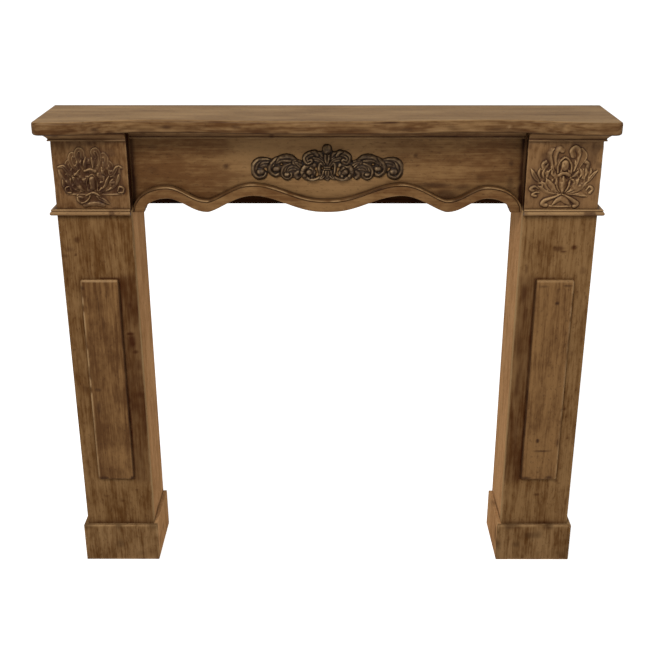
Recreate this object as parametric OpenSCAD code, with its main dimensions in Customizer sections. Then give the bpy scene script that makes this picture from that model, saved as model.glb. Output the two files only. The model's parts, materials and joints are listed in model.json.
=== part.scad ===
// Carved timber fireplace mantel: two boxed legs, a recessed frieze with a
// scalloped apron band, mitred mouldings and a shelf with a serpentine front.
// x runs along the shelf, z is up, and the wall lies at +y behind the boards.

/* [Overall] */
// Length of the shelf
shelf_w = 1208; // [1080:1:1500]
// Height from the floor to the top of the shelf
total_h = 1074; // [1000:1:1300]

/* [Shelf] */
// Thickness of the shelf board
shelf_t = 27; // [18:1:40]
// Depth of the shelf at its two ends
shelf_end_d = 205; // [195:1:260]
// Depth of the shelf at its middle
shelf_mid_d = 190; // [182:1:240]
// Depth of the shelf at the two hollows of its front
shelf_dip_d = 173.5; // [172:0.5:220]
// Radius of the two front corners in plan
shelf_corner_r = 18; // [8:1:40]
// Radius of the eased top and bottom arrises
shelf_arris_r = 5; // [2:0.5:8]
// Overhang of the shelf past the outer face of a leg
shelf_overhang = 25.5; // [18:0.5:40]

/* [Legs] */
// Width of a leg across its front
leg_w = 158.5; // [130:0.5:200]
// Depth of a leg from the wall to its front face
leg_d = 155; // [145:1:165]
// Thickness of the boards that make a leg
leg_board_t = 20; // [14:1:26]
// Height of the line where the carved block stands on the leg front
block_base_z = 875; // [860:0.5:900]

/* [Plinths] */
// Height of the plinth boards
plinth_h = 97; // [70:1:130]
// Thickness of the plinth boards
plinth_t = 9; // [6:0.5:14]
// Width of the eased top edge of the plinth boards
plinth_ease = 4; // [2:0.5:6]

/* [Raised panels] */
// Width of the raised panel on a leg
panel_w = 85; // [60:1:110]
// Height of the raised panel
panel_h = 500; // [350:1:560]
// Thickness of the raised panel
panel_t = 9; // [6:0.5:12]
// Height of the bottom edge of the raised panel
panel_base_z = 222; // [160:1:260]
// Radius of the panel's rounded edge
panel_ease = 6; // [3:0.5:6]

/* [Mouldings] */
// Height of the moulding under the carved block
neck_h = 13; // [10:0.5:18]
// Projection of the moulding under the carved block
neck_proj = 12.5; // [8:0.5:18]
// Height of the bed moulding over the carved blocks
bed_h = 20; // [14:0.5:24]
// Height of the bed moulding over the frieze
frieze_bed_h = 23; // [16:0.5:28]
// Projection of the bed mouldings under the shelf
bed_proj = 18.5; // [12:0.5:20]
// Depth of the cove in the bed mouldings
bed_cove = 1.8; // [0.5:0.1:3]
// Radius of the bead along the bottom of the bed mouldings
bed_bead_r = 1.6; // [1:0.1:2]
// Height of the fillet along the top of the bed mouldings
bed_fillet_h = 2; // [1:0.5:3]
// Height of the fillet on top of the neck moulding, with the quirk below it
neck_fillet_h = 4; // [3.6:0.1:5]
// Width of the quirk between the neck moulding's fillet and its rounded nose
neck_quirk = 1; // [0.5:0.1:1.4]
// How far the neck moulding's fillet is set back from its nose
neck_fillet_back = 2; // [0:0.5:3]

/* [Frieze and apron] */
// Recess of the frieze board behind the carved blocks
frieze_recess = 42; // [30:1:60]
// Thickness of the frieze board
frieze_t = 18; // [12:1:24]
// Thickness of the apron band on the frieze board
band_t = 22; // [14:1:28]
// Height of the apron band, square to the length
band_h = 25; // [18:0.5:32]
// Depth of the groove that parts the bead from the band
band_groove_d = 3.5; // [2:0.5:5]
// Width of the bead along the top of the band
bead_w = 4; // [3:0.5:6]
// Width of the groove below the bead
groove_w = 2; // [1.5:0.5:3]
// Height of the lowest line of the apron
apron_low_z = 868; // [850:1:880]
// Rise of the two inner arches above the lowest line
inner_rise = 36; // [24:1:44]
// Rise of the two outer arches above the lowest line
outer_rise = 30; // [20:1:38]
// Thickness of the rail glued behind the frieze board
rail_t = 20; // [14:1:26]
// Height of the rail behind the frieze board
rail_h = 90; // [70:1:120]
// Height of the rail's bottom edge above the lowest line of the apron
rail_lift = 8.5; // [4:0.5:16]

/* [Carving] */
// Width of the carving on a block
carving_w = 143; // [110:1:148]
// Height of the carving on a block
carving_h = 129; // [100:1:132]
// Height of the carving's highest point above the block's face
carving_proud = 8; // [5:0.5:12]
// Height of the carving's centre above the moulding under the block
carving_centre_up = 69; // [66:0.5:72]
// Width of the applied ornament on the frieze
ornament_w = 327; // [260:1:360]
// Height of the applied ornament
ornament_h = 81; // [60:1:88]
// Thickness of the applied ornament at its highest point
ornament_proud = 12; // [8:0.5:16]
// Height of the ornament's lowest point
ornament_base_z = 933; // [930:0.5:937]

/* [Hidden] */
wall_y = shelf_end_d / 2;
leg_outer = shelf_w / 2 - shelf_overhang;
leg_inner = leg_outer - leg_w;
leg_mid = (leg_outer + leg_inner) / 2;
shelf_under_z = total_h - shelf_t;
neck_z = block_base_z - neck_h / 2;
frieze_d = leg_d - frieze_recess;
carving_sink = 1;
carving_z = neck_z + neck_h + carving_centre_up;
overrun = 1;
mitre_reach = leg_d + bed_proj + neck_proj;
arc_steps = 6;
bead_steps = 3;
edge_steps = 48;
blunt = 0.6;

// Distances from the middle of the shelf front at which its curve turns
front_mid_half = 0.1 * shelf_w / 2;
front_dip_in = 0.57 * shelf_w / 2;
front_dip_out = 0.62 * shelf_w / 2;
front_end_in = 0.93 * shelf_w / 2;

// Distances from the middle at which the apron's lower line turns
inner_arch_x = 0.381 * leg_inner;
pendant_x = 0.614 * leg_inner;
outer_arch_x = 0.821 * leg_inner;
foot_w = band_h;
foot_x = leg_inner - foot_w;

// ---- helpers ----

// 0 to 1 along a soft S-curve; bias above 1 keeps it low for longer
function ease(t, bias = 1) = pow(0.5 - 0.5 * cos(180 * min(max(t, 0), 1)), bias);
function mix(a, b, t) = a + (b - a) * t;

// Points of an arc about c, from angle a0 to a1
function arc(c, r, a0, a1, n = arc_steps) =
    [for (i = [0:n]) c + r * [cos(mix(a0, a1, i / n)), sin(mix(a0, a1, i / n))]];

// Pieces are drawn against the wall plane and the floor, then set back by wall_y
module on_wall() { translate([0, wall_y, 0]) children(); }

// The right-hand piece as drawn, or its mirror image for the left
module hand(side) {
    if (side == "left") mirror([1, 0, 0]) children();
    else children();
}

// A board from x0 to x1, from d0 to d1 out from the wall, and from z0 to z1
module board(x0, x1, d0, d1, z0, z1) {
    translate([x0, -d1, z0]) cube([x1 - x0, d1 - d0, z1 - z0]);
}

// A profile [projection, height] run along x on a face that is d out from the wall
module front_run(profile, x0, x1, d, z) {
    translate([x0, -d, z]) rotate([90, 0, 90])
        linear_extrude(x1 - x0) polygon([for (p = profile) [-p[0], p[1]]]);
}

// The same profile run out from the wall on the leg's outer side, at x
module side_run(profile, x, d0, d1, z) {
    translate([x, -d0, z]) rotate([90, 0, 0]) linear_extrude(d1 - d0) polygon(profile);
}

// Everything on the far side of the mitre plane at a leg's outer front corner
module past_mitre(turn) {
    translate([leg_outer, -leg_d, 0]) rotate([0, 0, 45 + turn]) translate([0, -mitre_reach, -overrun])
        cube([mitre_reach, 2 * mitre_reach, total_h + 2 * overrun]);
}

// ---- shelf ----

// Depth of the shelf's front edge at a distance x from its middle
function front_depth(x) =
    x < front_dip_in
    ? mix(shelf_mid_d, shelf_dip_d, ease((x - front_mid_half) / (front_dip_in - front_mid_half)))
    : mix(shelf_dip_d, shelf_end_d, ease((x - front_dip_out) / (front_end_in - front_dip_out)));

// Outline of the shelf, drawn in by inset all round but for the wall edge
function shelf_outline(inset) =
    let (half = shelf_w / 2 - inset, r = shelf_corner_r - inset, straight = half - r)
    concat(
        [[-half, 0]],
        arc([-straight, -(shelf_end_d - inset - r)], r, 180, 270),
        [for (i = [1:edge_steps - 1]) let (x = mix(-straight, straight, i / edge_steps))
            [x, -(front_depth(abs(x)) - inset)]],
        arc([straight, -(shelf_end_d - inset - r)], r, 270, 360),
        [[half, 0]]
    );

// A solid through outlines with equal counts of points, from the bottom up
module lofted(outlines, heights) {
    n = len(outlines[0]);
    m = len(outlines);
    polyhedron(
        points = [for (k = [0:m - 1]) for (p = outlines[k]) [p[0], p[1], heights[k]]],
        faces = concat(
            [[for (i = [0:n - 1]) i]],
            [for (k = [0:m - 2]) for (i = [0:n - 1]) let (j = (i + 1) % n)
                each [[k * n + i, (k + 1) * n + i, (k + 1) * n + j],
                      [k * n + i, (k + 1) * n + j, k * n + j]]],
            [[for (i = [n - 1:-1:0]) (m - 1) * n + i]]
        )
    );
}

module mantel_shelf() {
    r = shelf_arris_r;
    turns = [0, 45, 90];
    insets = concat([for (a = turns) r * (1 - sin(a))], [for (a = turns) r * (1 - cos(a))]);
    rises = concat([for (a = turns) r * (1 - cos(a))], [for (a = turns) shelf_t - r * (1 - sin(a))]);
    color("tan") on_wall() translate([0, 0, shelf_under_z])
        lofted([for (s = insets) shelf_outline(s)], rises);
}

// ---- mouldings ----

// Bed moulding: a bead at the bottom, a quirk, and a shallow cove splayed out to the shelf
function bed_profile(h) =
    let (quirk = 2.25 * bed_bead_r, cove_low = 3 * bed_bead_r, cove_top = h - bed_fillet_h)
    concat(
        [[0, 0]],
        arc([quirk, bed_bead_r], bed_bead_r, -90, 60, bead_steps),
        [for (i = [0:arc_steps]) let (t = i / arc_steps)
            [mix(quirk, bed_proj, t) - 4 * bed_cove * t * (1 - t), mix(cove_low, cove_top, t)]],
        [[bed_proj, h], [0, h]]
    );

// Neck moulding: a rounded nose, a quirk, and a fillet on top
function neck_profile() =
    let (nose_r = (neck_h - neck_fillet_h) / 2, fillet_z = neck_h - neck_fillet_h + 1.4 * neck_quirk,
         fillet_x = neck_proj - neck_fillet_back)
    concat(
        [[0, 0]],
        arc([neck_proj - nose_r, nose_r], nose_r, -90, 70),
        [[fillet_x - 2 * neck_quirk, fillet_z - neck_quirk], [fillet_x - blunt, fillet_z],
         [fillet_x - blunt, neck_h - blunt], [fillet_x - 2 * blunt, neck_h], [0, neck_h]]
    );

module moulding_front(profile, z) {
    difference() {
        front_run(profile, leg_inner, leg_outer + bed_proj + neck_proj, leg_d, z);
        past_mitre(0);
    }
}

module moulding_return(profile, z) {
    difference() {
        side_run(profile, leg_outer, 0, leg_d + bed_proj + neck_proj, z);
        past_mitre(180);
    }
}

module bed_moulding_front(side) {
    color("sienna") on_wall() hand(side) moulding_front(bed_profile(bed_h), shelf_under_z - bed_h);
}

module bed_moulding_return(side) {
    color("sienna") on_wall() hand(side) moulding_return(bed_profile(bed_h), shelf_under_z - bed_h);
}

module frieze_bed_moulding() {
    color("sienna") on_wall()
        front_run(bed_profile(frieze_bed_h), -leg_inner, leg_inner, frieze_d, shelf_under_z - frieze_bed_h);
}

module neck_moulding_front(side) {
    color("peru") on_wall() hand(side) moulding_front(neck_profile(), neck_z);
}

module neck_moulding_return(side) {
    color("peru") on_wall() hand(side) moulding_return(neck_profile(), neck_z);
}

// ---- legs and plinths ----

module leg_front(side) {
    color("saddlebrown") on_wall() hand(side)
        board(leg_inner, leg_outer, leg_d - leg_board_t, leg_d, 0, block_base_z);
}

module leg_inner_cheek(side) {
    color("burlywood") on_wall() hand(side)
        board(leg_inner, leg_inner + leg_board_t, 0, leg_d - leg_board_t, 0, shelf_under_z);
}

module leg_outer_cheek(side) {
    color("saddlebrown") on_wall() hand(side)
        board(leg_outer - leg_board_t, leg_outer, 0, leg_d - leg_board_t, 0, shelf_under_z);
}

// Section of a plinth board: an eased outer top edge
function plinth_profile() =
    concat([[0, 0], [plinth_t, 0]],
           arc([plinth_t - plinth_ease, plinth_h - plinth_ease], plinth_ease, 0, 90),
           [[0, plinth_h]]);

module plinth_front(side) {
    color("sienna") on_wall() hand(side)
        front_run(plinth_profile(), leg_inner - plinth_t, leg_outer + plinth_t, leg_d, 0);
}

module plinth_outer(side) {
    color("sienna") on_wall() hand(side) side_run(plinth_profile(), leg_outer, 0, leg_d, 0);
}

module plinth_inner(side) {
    color("burlywood") on_wall() hand(side)
        translate([leg_inner, 0, 0]) mirror([1, 0, 0]) side_run(plinth_profile(), 0, 0, leg_d, 0);
}

// A board with a rounded front edge on all four sides
module raised_panel(side) {
    round_over = [for (a = [0:90 / arc_steps:90])
        [panel_ease * (1 - cos(a)), panel_t - panel_ease * (1 - sin(a))]];
    across = concat([[0, 0]], round_over,
        [for (i = [arc_steps:-1:0]) [panel_w - round_over[i][0], round_over[i][1]]], [[panel_w, 0]]);
    up = concat([[0, 0]], [for (p = round_over) [p[1], p[0]]],
        [for (i = [arc_steps:-1:0]) [round_over[i][1], panel_h - round_over[i][0]]], [[0, panel_h]]);
    color("peru") on_wall() hand(side) translate([0, -leg_d, panel_base_z]) intersection() {
        translate([leg_mid - panel_w / 2, 0, 0]) linear_extrude(panel_h)
            polygon([for (p = across) [p[0], -p[1]]]);
        front_run(up, leg_mid - panel_w / 2, leg_mid + panel_w / 2, 0, 0);
    }
}

// ---- frieze and apron ----

// Rise of the apron's lower line at a distance x from the middle
function apron_rise(x) =
    x < inner_arch_x ? inner_rise * ease(x / inner_arch_x, 1.2)
    : x < pendant_x ? inner_rise * ease((pendant_x - x) / (pendant_x - inner_arch_x), 0.7)
    : outer_rise * ease((x - pendant_x) / (outer_arch_x - pendant_x), 1.1);

// Height of a line that runs lift above the lower line; past the outer arch it
// falls to the foot along a quarter of an ellipse about the same centre
function apron_line(x, lift) =
    apron_low_z + (x < outer_arch_x ? apron_rise(x) + lift
    : (outer_rise + lift) * sqrt(max(0, 1 - pow((x - outer_arch_x) / (foot_x - outer_arch_x + lift), 2))));

// x of the points along a line: even steps, closer together towards the foot
function apron_xs(lift) =
    let (end = foot_x + lift)
    concat([for (i = [0:edge_steps]) outer_arch_x * i / edge_steps],
           [for (a = [10:10:90]) outer_arch_x + (end - outer_arch_x) * sin(a)]);

function apron_half(lift) = [for (x = apron_xs(lift)) [x, apron_line(x, lift)]];
function reversed(v) = [for (i = [len(v) - 1:-1:0]) v[i]];
function mirrored(v) = [for (p = reversed(v)) [-p[0], p[1]]];

// The whole line from the left foot to the right, with the middle point once
function apron_whole(lift) =
    let (half = apron_half(lift))
    concat(mirrored(half), [for (i = [1:len(half) - 1]) half[i]]);

// The strip between two of those lines
module apron_strip(low, high) { polygon(concat(apron_whole(low), reversed(apron_whole(high)))); }

// A flat shape drawn in x and z, set on the face d out from the wall
module upright(d, t) { translate([0, -d, 0]) rotate([90, 0, 0]) linear_extrude(t) children(); }

module frieze_board() {
    color("peru") on_wall() upright(frieze_d - frieze_t, frieze_t)
        polygon(concat(apron_whole(0), [[leg_inner, apron_low_z], [leg_inner, shelf_under_z],
            [-leg_inner, shelf_under_z], [-leg_inner, apron_low_z]]));
}

module apron_band() {
    bead_low = band_h - bead_w;
    color("peru") on_wall() {
        upright(frieze_d, band_t - band_groove_d) apron_strip(0, band_h);
        upright(frieze_d, band_t) apron_strip(0, bead_low - groove_w);
        upright(frieze_d, band_t) apron_strip(bead_low, band_h);
    }
}

module frieze_rail() {
    z = apron_low_z + rail_lift;
    back = frieze_d - frieze_t;
    color("saddlebrown") on_wall() board(-leg_inner, leg_inner, back - rail_t, back, z, z + rail_h);
}

// ---- carving ----

// A leaf or scroll lying on a flat face: it starts at base, heads off at angle
// from straight up and turns by turn degrees along its length; fat above 1 puts
// its widest part nearer to the tip. Its section is a ridge over a keel.
module blade(base, angle, turn, length, width, height, fat = 1) {
    n = abs(turn) > 120 ? 6 : abs(turn) > 30 ? 4 : 3;
    bend = turn == 0 ? 0.01 : turn;
    r = length * 180 / (bend * PI);
    function at(t) = base + r * [cos(angle) - cos(angle + bend * t), sin(angle + bend * t) - sin(angle)];
    function across(t) = [cos(angle + bend * t), -sin(angle + bend * t)];
    function swell(t) = 0.12 + 0.88 * pow(sin(180 * pow(t, fat)), 0.8);
    ts = [for (i = [0:n]) mix(0.02, 0.98, i / n)];
    rings = [for (t = ts)
        let (c = at(t), s = across(t) * width / 2 * swell(t), h = height * (0.45 + 0.55 * swell(t)))
        each [[c[0] - s[0], c[1] - s[1], 0], [c[0], c[1], h],
              [c[0] + s[0], c[1] + s[1], 0], [c[0], c[1], -carving_sink]]];
    polyhedron(
        points = rings,
        faces = concat(
            [[0, 1, 2, 3]],
            [for (i = [0:n - 1]) for (k = [0:3]) let (a = 4 * i + k, b = 4 * i + (k + 1) % 4)
                each [[a, a + 4, b + 4], [a, b + 4, b]]],
            [[4 * n + 3, 4 * n + 2, 4 * n + 1, 4 * n]]
        )
    );
}

module both_sides() { for (s = [0, 1]) mirror([s, 0, 0]) children(); }

// Lotus spray: a bud, a fan of petals, plumes that hook over, ribbons below. It is
// drawn about its own centre, near its real size, and then brought to its named size.
module lotus_spray() {
    root = [0, -38];
    blade(root, 0, 0, 46, 20, 9, 0.9);
    blade([0, 2], 0, 0, 34, 22, 8, 1.1);
    both_sides() {
        for (i = [0:3]) blade(root, 24 + 21 * i, 8, 52 + 4 * i, 15, 8 - 0.8 * i, 1.2);
        for (i = [0:2]) blade([4 + 12 * i, 2 - 9 * i], 8 + 22 * i, 16 - 4 * i, 58 - 5 * i, 14, 7, 1.4);
        for (i = [0:2]) blade([12 + 18 * i, 52 - 13 * i], 30 + 22 * i, 200, 26, 7, 6);
        for (i = [0:1]) blade([50 + 4 * i, -26 + 24 * i], 70 - 20 * i, 190 - 380 * i, 34, 7, 6);
        blade([0, -38], 108, -30, 44, 13, 6, 1.1);
        blade([34, -48], 70, 230, 30, 7, 6);
        blade([2, -36], 150, -90, 44, 12, 6, 1.2);
    }
    blade([0, -42], 180, 0, 24, 34, 5, 1);
}

module carved_block(side) {
    color("saddlebrown") on_wall() hand(side) {
        board(leg_inner, leg_outer, leg_d - leg_board_t, leg_d, block_base_z, shelf_under_z);
        translate([leg_mid, -leg_d, carving_z]) rotate([90, 0, 0]) resized_carving() lotus_spray();
    }
}

// The carving brought to its named size, with its keel sunk in the block
module resized_carving() {
    translate([0, 0, -carving_sink])
        resize([carving_w, carving_h, carving_proud + carving_sink])
            translate([0, 0, carving_sink]) children();
}

// One volute of the cast ornament: a band of metal that winds in on an eye
module volute(centre, r, start, sweep, width, height) {
    from = centre + r * [sin(start - sign(sweep) * 90), cos(start - sign(sweep) * 90)];
    blade(from, start, sweep, abs(sweep) * PI / 180 * r, width, height, 0.8);
    translate([centre[0], centre[1], -carving_sink])
        cylinder(h = 0.8 * height + carving_sink, r1 = 0.95 * r, r2 = 0.4 * r, $fn = 8);
}

// Acanthus scrolls each side of a tied stem with a knob finial, drawn up from the
// ornament's lowest point, near its real size, and then brought to its named size
module acanthus_scrolls() {
    blade([0, 2], 0, 0, 62, 16, 11, 0.8);
    translate([0, 69, -carving_sink]) cylinder(h = 11, r1 = 9.5, r2 = 5, $fn = 12);
    translate([-9, 25, -carving_sink]) cube([18, 8, 10]);
    both_sides() {
        blade([1, 28], 0, 90, 47, 11, 10, 0.9);
        blade([30, 57], 90, 175, 41, 9, 9, 0.9);
        blade([2, 32], 158, -50, 30, 9, 9, 0.9);
        volute([36, 17], 13, 200, -290, 11, 11);
        volute([58, 34], 8, 60, 250, 8, 8);
        volute([60, 13], 8, 30, 250, 9, 8);
        blade([44, 18], 60, 50, 52, 16, 9, 1.1);
        volute([86, 14], 9.5, 60, 260, 9, 10);
        blade([54, 28], 40, 80, 70, 15, 10, 1.1);
        volute([109, 24], 12, 50, 280, 11, 11);
        blade([96, 30], 50, 80, 56, 14, 9, 1.1);
        volute([146, 19], 10, 50, 290, 10, 11);
    }
}

module centre_ornament() {
    color("dimgray") on_wall() translate([0, -frieze_d, ornament_base_z]) rotate([90, 0, 0]) intersection() {
        resize([ornament_w, ornament_h, ornament_proud + carving_sink]) acanthus_scrolls();
        translate([-ornament_w, -ornament_h, 0]) cube([2 * ornament_w, 3 * ornament_h, 2 * ornament_proud]);
    }
}

mantel_shelf();
frieze_bed_moulding();
bed_moulding_front("left");  // left_bed_moulding_front
bed_moulding_return("left");  // left_bed_moulding_return
bed_moulding_front("right");  // right_bed_moulding_front
bed_moulding_return("right");  // right_bed_moulding_return
carved_block("left");  // left_carved_block
carved_block("right");  // right_carved_block
neck_moulding_front("left");  // left_neck_moulding_front
neck_moulding_return("left");  // left_neck_moulding_return
neck_moulding_front("right");  // right_neck_moulding_front
neck_moulding_return("right");  // right_neck_moulding_return
leg_front("left");  // left_leg_front
leg_inner_cheek("left");  // left_leg_inner_cheek
leg_outer_cheek("left");  // left_leg_outer_cheek
leg_front("right");  // right_leg_front
leg_inner_cheek("right");  // right_leg_inner_cheek
leg_outer_cheek("right");  // right_leg_outer_cheek
raised_panel("left");  // left_raised_panel
raised_panel("right");  // right_raised_panel
plinth_front("left");  // left_plinth_front
plinth_inner("left");  // left_plinth_inner
plinth_outer("left");  // left_plinth_outer
plinth_front("right");  // right_plinth_front
plinth_inner("right");  // right_plinth_inner
plinth_outer("right");  // right_plinth_outer
frieze_board();
apron_band();
frieze_rail();
centre_ornament();
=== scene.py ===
import json
import math

import bmesh
import bpy
import numpy as np
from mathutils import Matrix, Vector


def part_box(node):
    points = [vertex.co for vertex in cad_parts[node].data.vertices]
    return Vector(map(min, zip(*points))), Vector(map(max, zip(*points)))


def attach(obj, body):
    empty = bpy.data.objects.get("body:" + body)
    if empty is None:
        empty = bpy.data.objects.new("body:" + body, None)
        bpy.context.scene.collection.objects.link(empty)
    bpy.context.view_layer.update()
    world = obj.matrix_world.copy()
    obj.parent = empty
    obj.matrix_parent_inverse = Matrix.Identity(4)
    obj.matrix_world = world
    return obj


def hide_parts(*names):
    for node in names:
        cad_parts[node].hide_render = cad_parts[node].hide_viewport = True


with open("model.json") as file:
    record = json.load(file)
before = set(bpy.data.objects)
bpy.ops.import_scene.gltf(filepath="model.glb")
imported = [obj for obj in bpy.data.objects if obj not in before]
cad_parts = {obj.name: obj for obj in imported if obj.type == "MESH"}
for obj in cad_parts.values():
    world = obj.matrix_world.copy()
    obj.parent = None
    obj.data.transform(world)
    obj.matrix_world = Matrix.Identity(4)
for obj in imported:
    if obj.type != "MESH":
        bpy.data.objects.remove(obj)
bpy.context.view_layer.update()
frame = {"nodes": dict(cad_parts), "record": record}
mm = 0.001

# Places that more than one piece is set out from, taken from the frame
shelfLow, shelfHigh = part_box("mantel_shelf")
friezeLow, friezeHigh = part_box("frieze_board")
legLow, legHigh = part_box("right_leg_front")
wallY = shelfHigh.y
legInner = legLow.x
legOuter = legHigh.x
legFrontY = legLow.y
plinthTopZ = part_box("right_plinth_front")[1].z


def mix(a, b, t):
    return a + (b - a) * t


def smooth(low, high, v):
    t = np.clip((v - low) / (high - low), 0, 1)
    return t * t * (3 - 2 * t)


def ease(t, bias=1.0):
    return (0.5 - 0.5 * np.cos(np.pi * np.clip(t, 0, 1))) ** bias


# Smooth noise from 0 to 1 at each point; size is the distance between its bumps.
# The large numbers only scatter the cells
scatter = {"x": 73856093, "y": 19349663, "z": 83492791, "first": 1274126177, "second": 668265263,
           "range": 2147483647, "seedStep": 17.31}


def softNoise(points, size, seed):
    p = np.asarray(points, float) / size + seed * scatter["seedStep"]
    cell = np.floor(p).astype(np.int64)
    f = p - cell
    f = f * f * (3 - 2 * f)
    total = 0
    for i in (0, 1):
        for j in (0, 1):
            for k in (0, 1):
                n = (cell[:, 0] + i) * scatter["x"] ^ (cell[:, 1] + j) * scatter["y"]
                n = n ^ (cell[:, 2] + k) * scatter["z"]
                n = (n ^ (n >> 13)) * scatter["first"] % scatter["range"]
                n = (n ^ (n >> 11)) * scatter["second"] % scatter["range"]
                wx = f[:, 0] if i else 1 - f[:, 0]
                wy = f[:, 1] if j else 1 - f[:, 1]
                wz = f[:, 2] if k else 1 - f[:, 2]
                total = total + wx * wy * wz * (n / scatter["range"])
    return total


# A field smoothed over a number of cells
def blurred(field, cells):
    kernel = np.exp(-0.5 * (np.arange(-3 * cells, 3 * cells + 1) / cells) ** 2)
    kernel /= kernel.sum()
    padded = np.pad(field, 3 * cells, mode="edge")
    rows = np.apply_along_axis(lambda r: np.convolve(r, kernel, "valid"), 1, padded)
    return np.apply_along_axis(lambda r: np.convolve(r, kernel, "valid"), 0, rows)


# One mesh from points and faces, with values painted on its points
def makePiece(name, points, faces, nodes, material, paint, flat=False):
    mesh = bpy.data.meshes.new(name + "_look")
    mesh.from_pydata([tuple(p) for p in points], [], [tuple(f) for f in faces])
    mesh.validate()
    bm = bmesh.new()
    bm.from_mesh(mesh)
    bmesh.ops.recalc_face_normals(bm, faces=bm.faces)
    bm.to_mesh(mesh)
    bm.free()
    mesh.polygons.foreach_set("use_smooth", [not flat] * len(mesh.polygons))
    for key, values in paint.items():
        layer = mesh.attributes.new(key, "FLOAT", "POINT")
        layer.data.foreach_set("value", np.clip(np.asarray(values, np.float32), 0, 1))
    mesh.update()
    piece = bpy.data.objects.new(name + "_look", mesh)
    bpy.context.scene.collection.objects.link(piece)
    mesh.materials.append(materials[material])
    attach(piece, "root")
    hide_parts(*nodes)
    return piece


# Stops along one side of a board, close together over the rounded arrises.
# The one at 0.586 of the radius lands at 22.5 degrees on the round
def stopsAlong(low, high, radius, step):
    halfRound, flatStart = 0.586, 0.8 * mm
    edge = [0, halfRound * radius, radius, radius + flatStart]
    a, b = low + edge[-1], high - edge[-1]
    middle = np.linspace(a, b, max(1, int(round((b - a) / step))) + 1)
    return np.concatenate([[low + e for e in edge[:-1]], middle, [high - e for e in edge[-2::-1]]])


# A board with rounded arrises, as points and faces
def boardMesh(low, high, radius, step):
    stops = [stopsAlong(low[a], high[a], radius, step[a]) for a in range(3)]
    points, faces = [], []
    for axis in range(3):
        u, v = [a for a in range(3) if a != axis]
        for end in (low[axis], high[axis]):
            gu, gv = np.meshgrid(stops[u], stops[v], indexing="ij")
            grid = np.zeros(gu.shape + (3,))
            grid[..., axis], grid[..., u], grid[..., v] = end, gu, gv
            start = sum(len(p) for p in points)
            points.append(grid.reshape(-1, 3))
            faces.append(gridFaces(*gu.shape) + start)
    return weld(np.concatenate(points), np.concatenate(faces), low, high, radius)


def gridFaces(rows, columns):
    i, j = np.meshgrid(np.arange(rows - 1), np.arange(columns - 1), indexing="ij")
    a = (i * columns + j).ravel()
    return np.stack([a, a + 1, a + columns + 1, a + columns], 1)


# Numbers of the points round the rim of a grid, in order
def gridRim(rows, columns):
    rim = [(i, 0) for i in range(rows)] + [(rows - 1, j) for j in range(1, columns)]
    rim += [(i, columns - 1) for i in range(rows - 2, -1, -1)] + [(0, j) for j in range(columns - 2, 0, -1)]
    return np.array([i * columns + j for i, j in rim])


# Faces between two closed rings of point numbers
def ringFaces(first, second):
    n = len(first)
    return [(first[i], first[(i + 1) % n], second[(i + 1) % n], second[i]) for i in range(n)]


# Joins points in the same place, then rounds the box's edges and corners
def weld(points, faces, low, high, radius):
    key = np.round(points * 1e7).astype(np.int64)
    _, first, back = np.unique(key, axis=0, return_index=True, return_inverse=True)
    points, faces = points[first], back.ravel()[faces]
    inner = np.clip(points, np.array(low) + radius, np.array(high) - radius)
    away = points - inner
    length = np.linalg.norm(away, axis=1, keepdims=True)
    return inner + away / np.maximum(length, 1e-9) * radius, faces


# A profile of [out, up] points carried along stations; place gives each point
def sweptMesh(profile, stations, place):
    n = len(profile)
    points = np.array([place(s, p) for s in stations for p in profile])
    faces = []
    for k in range(len(stations) - 1):
        for i in range(n):
            j = (i + 1) % n
            faces.append((k * n + i, k * n + j, (k + 1) * n + j, (k + 1) * n + i))
    last = (len(stations) - 1) * n
    faces.append(tuple(range(n)))
    faces.append(tuple(last + i for i in reversed(range(n))))
    return points, faces


def newGroup(name, inputs, outputs):
    group = bpy.data.node_groups.new(name, "ShaderNodeTree")
    for label, kind, value in inputs:
        socket = group.interface.new_socket(label, in_out="INPUT", socket_type="NodeSocket" + kind)
        if value is not None:
            socket.default_value = value
    for label, kind in outputs:
        group.interface.new_socket(label, in_out="OUTPUT", socket_type="NodeSocket" + kind)
    return group, group.nodes.new("NodeGroupInput"), group.nodes.new("NodeGroupOutput")


def addNode(tree, kind, links=None, **values):
    node = tree.nodes.new("ShaderNode" + kind)
    for key, value in values.items():
        setattr(node, key, value)
    for socket, source in (links or {}).items():
        if isinstance(source, bpy.types.NodeSocket):
            tree.links.new(source, node.inputs[socket])
        else:
            node.inputs[socket].default_value = source
    return node


def math1(tree, operation, a, b=0.0, c=0.0, clamp=False):
    return addNode(tree, "Math", {0: a, 1: b, 2: c}, operation=operation, use_clamp=clamp).outputs[0]


# Adds up outputs, each times its own share
def weighted(tree, parts):
    total = 0.0
    for source, share in parts:
        total = math1(tree, "MULTIPLY_ADD", source, share, total)
    return total


def attribute(tree, key):
    return addNode(tree, "Attribute", attribute_name=key).outputs["Fac"]


def ramp(tree, value, low, high, bottom=0.0, top=1.0):
    links = {"Value": value, "From Min": low, "From Max": high, "To Min": bottom, "To Max": top}
    return addNode(tree, "MapRange", links, interpolation_type="SMOOTHSTEP").outputs["Result"]


def colourMix(tree, factor, a, b, blend="MIX"):
    node = addNode(tree, "Mix", data_type="RGBA", blend_type=blend)
    for index, source in ((0, factor), (6, a), (7, b)):
        if isinstance(source, bpy.types.NodeSocket):
            tree.links.new(source, node.inputs[index])
        else:
            node.inputs[index].default_value = source
    return node.outputs[2]


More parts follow.
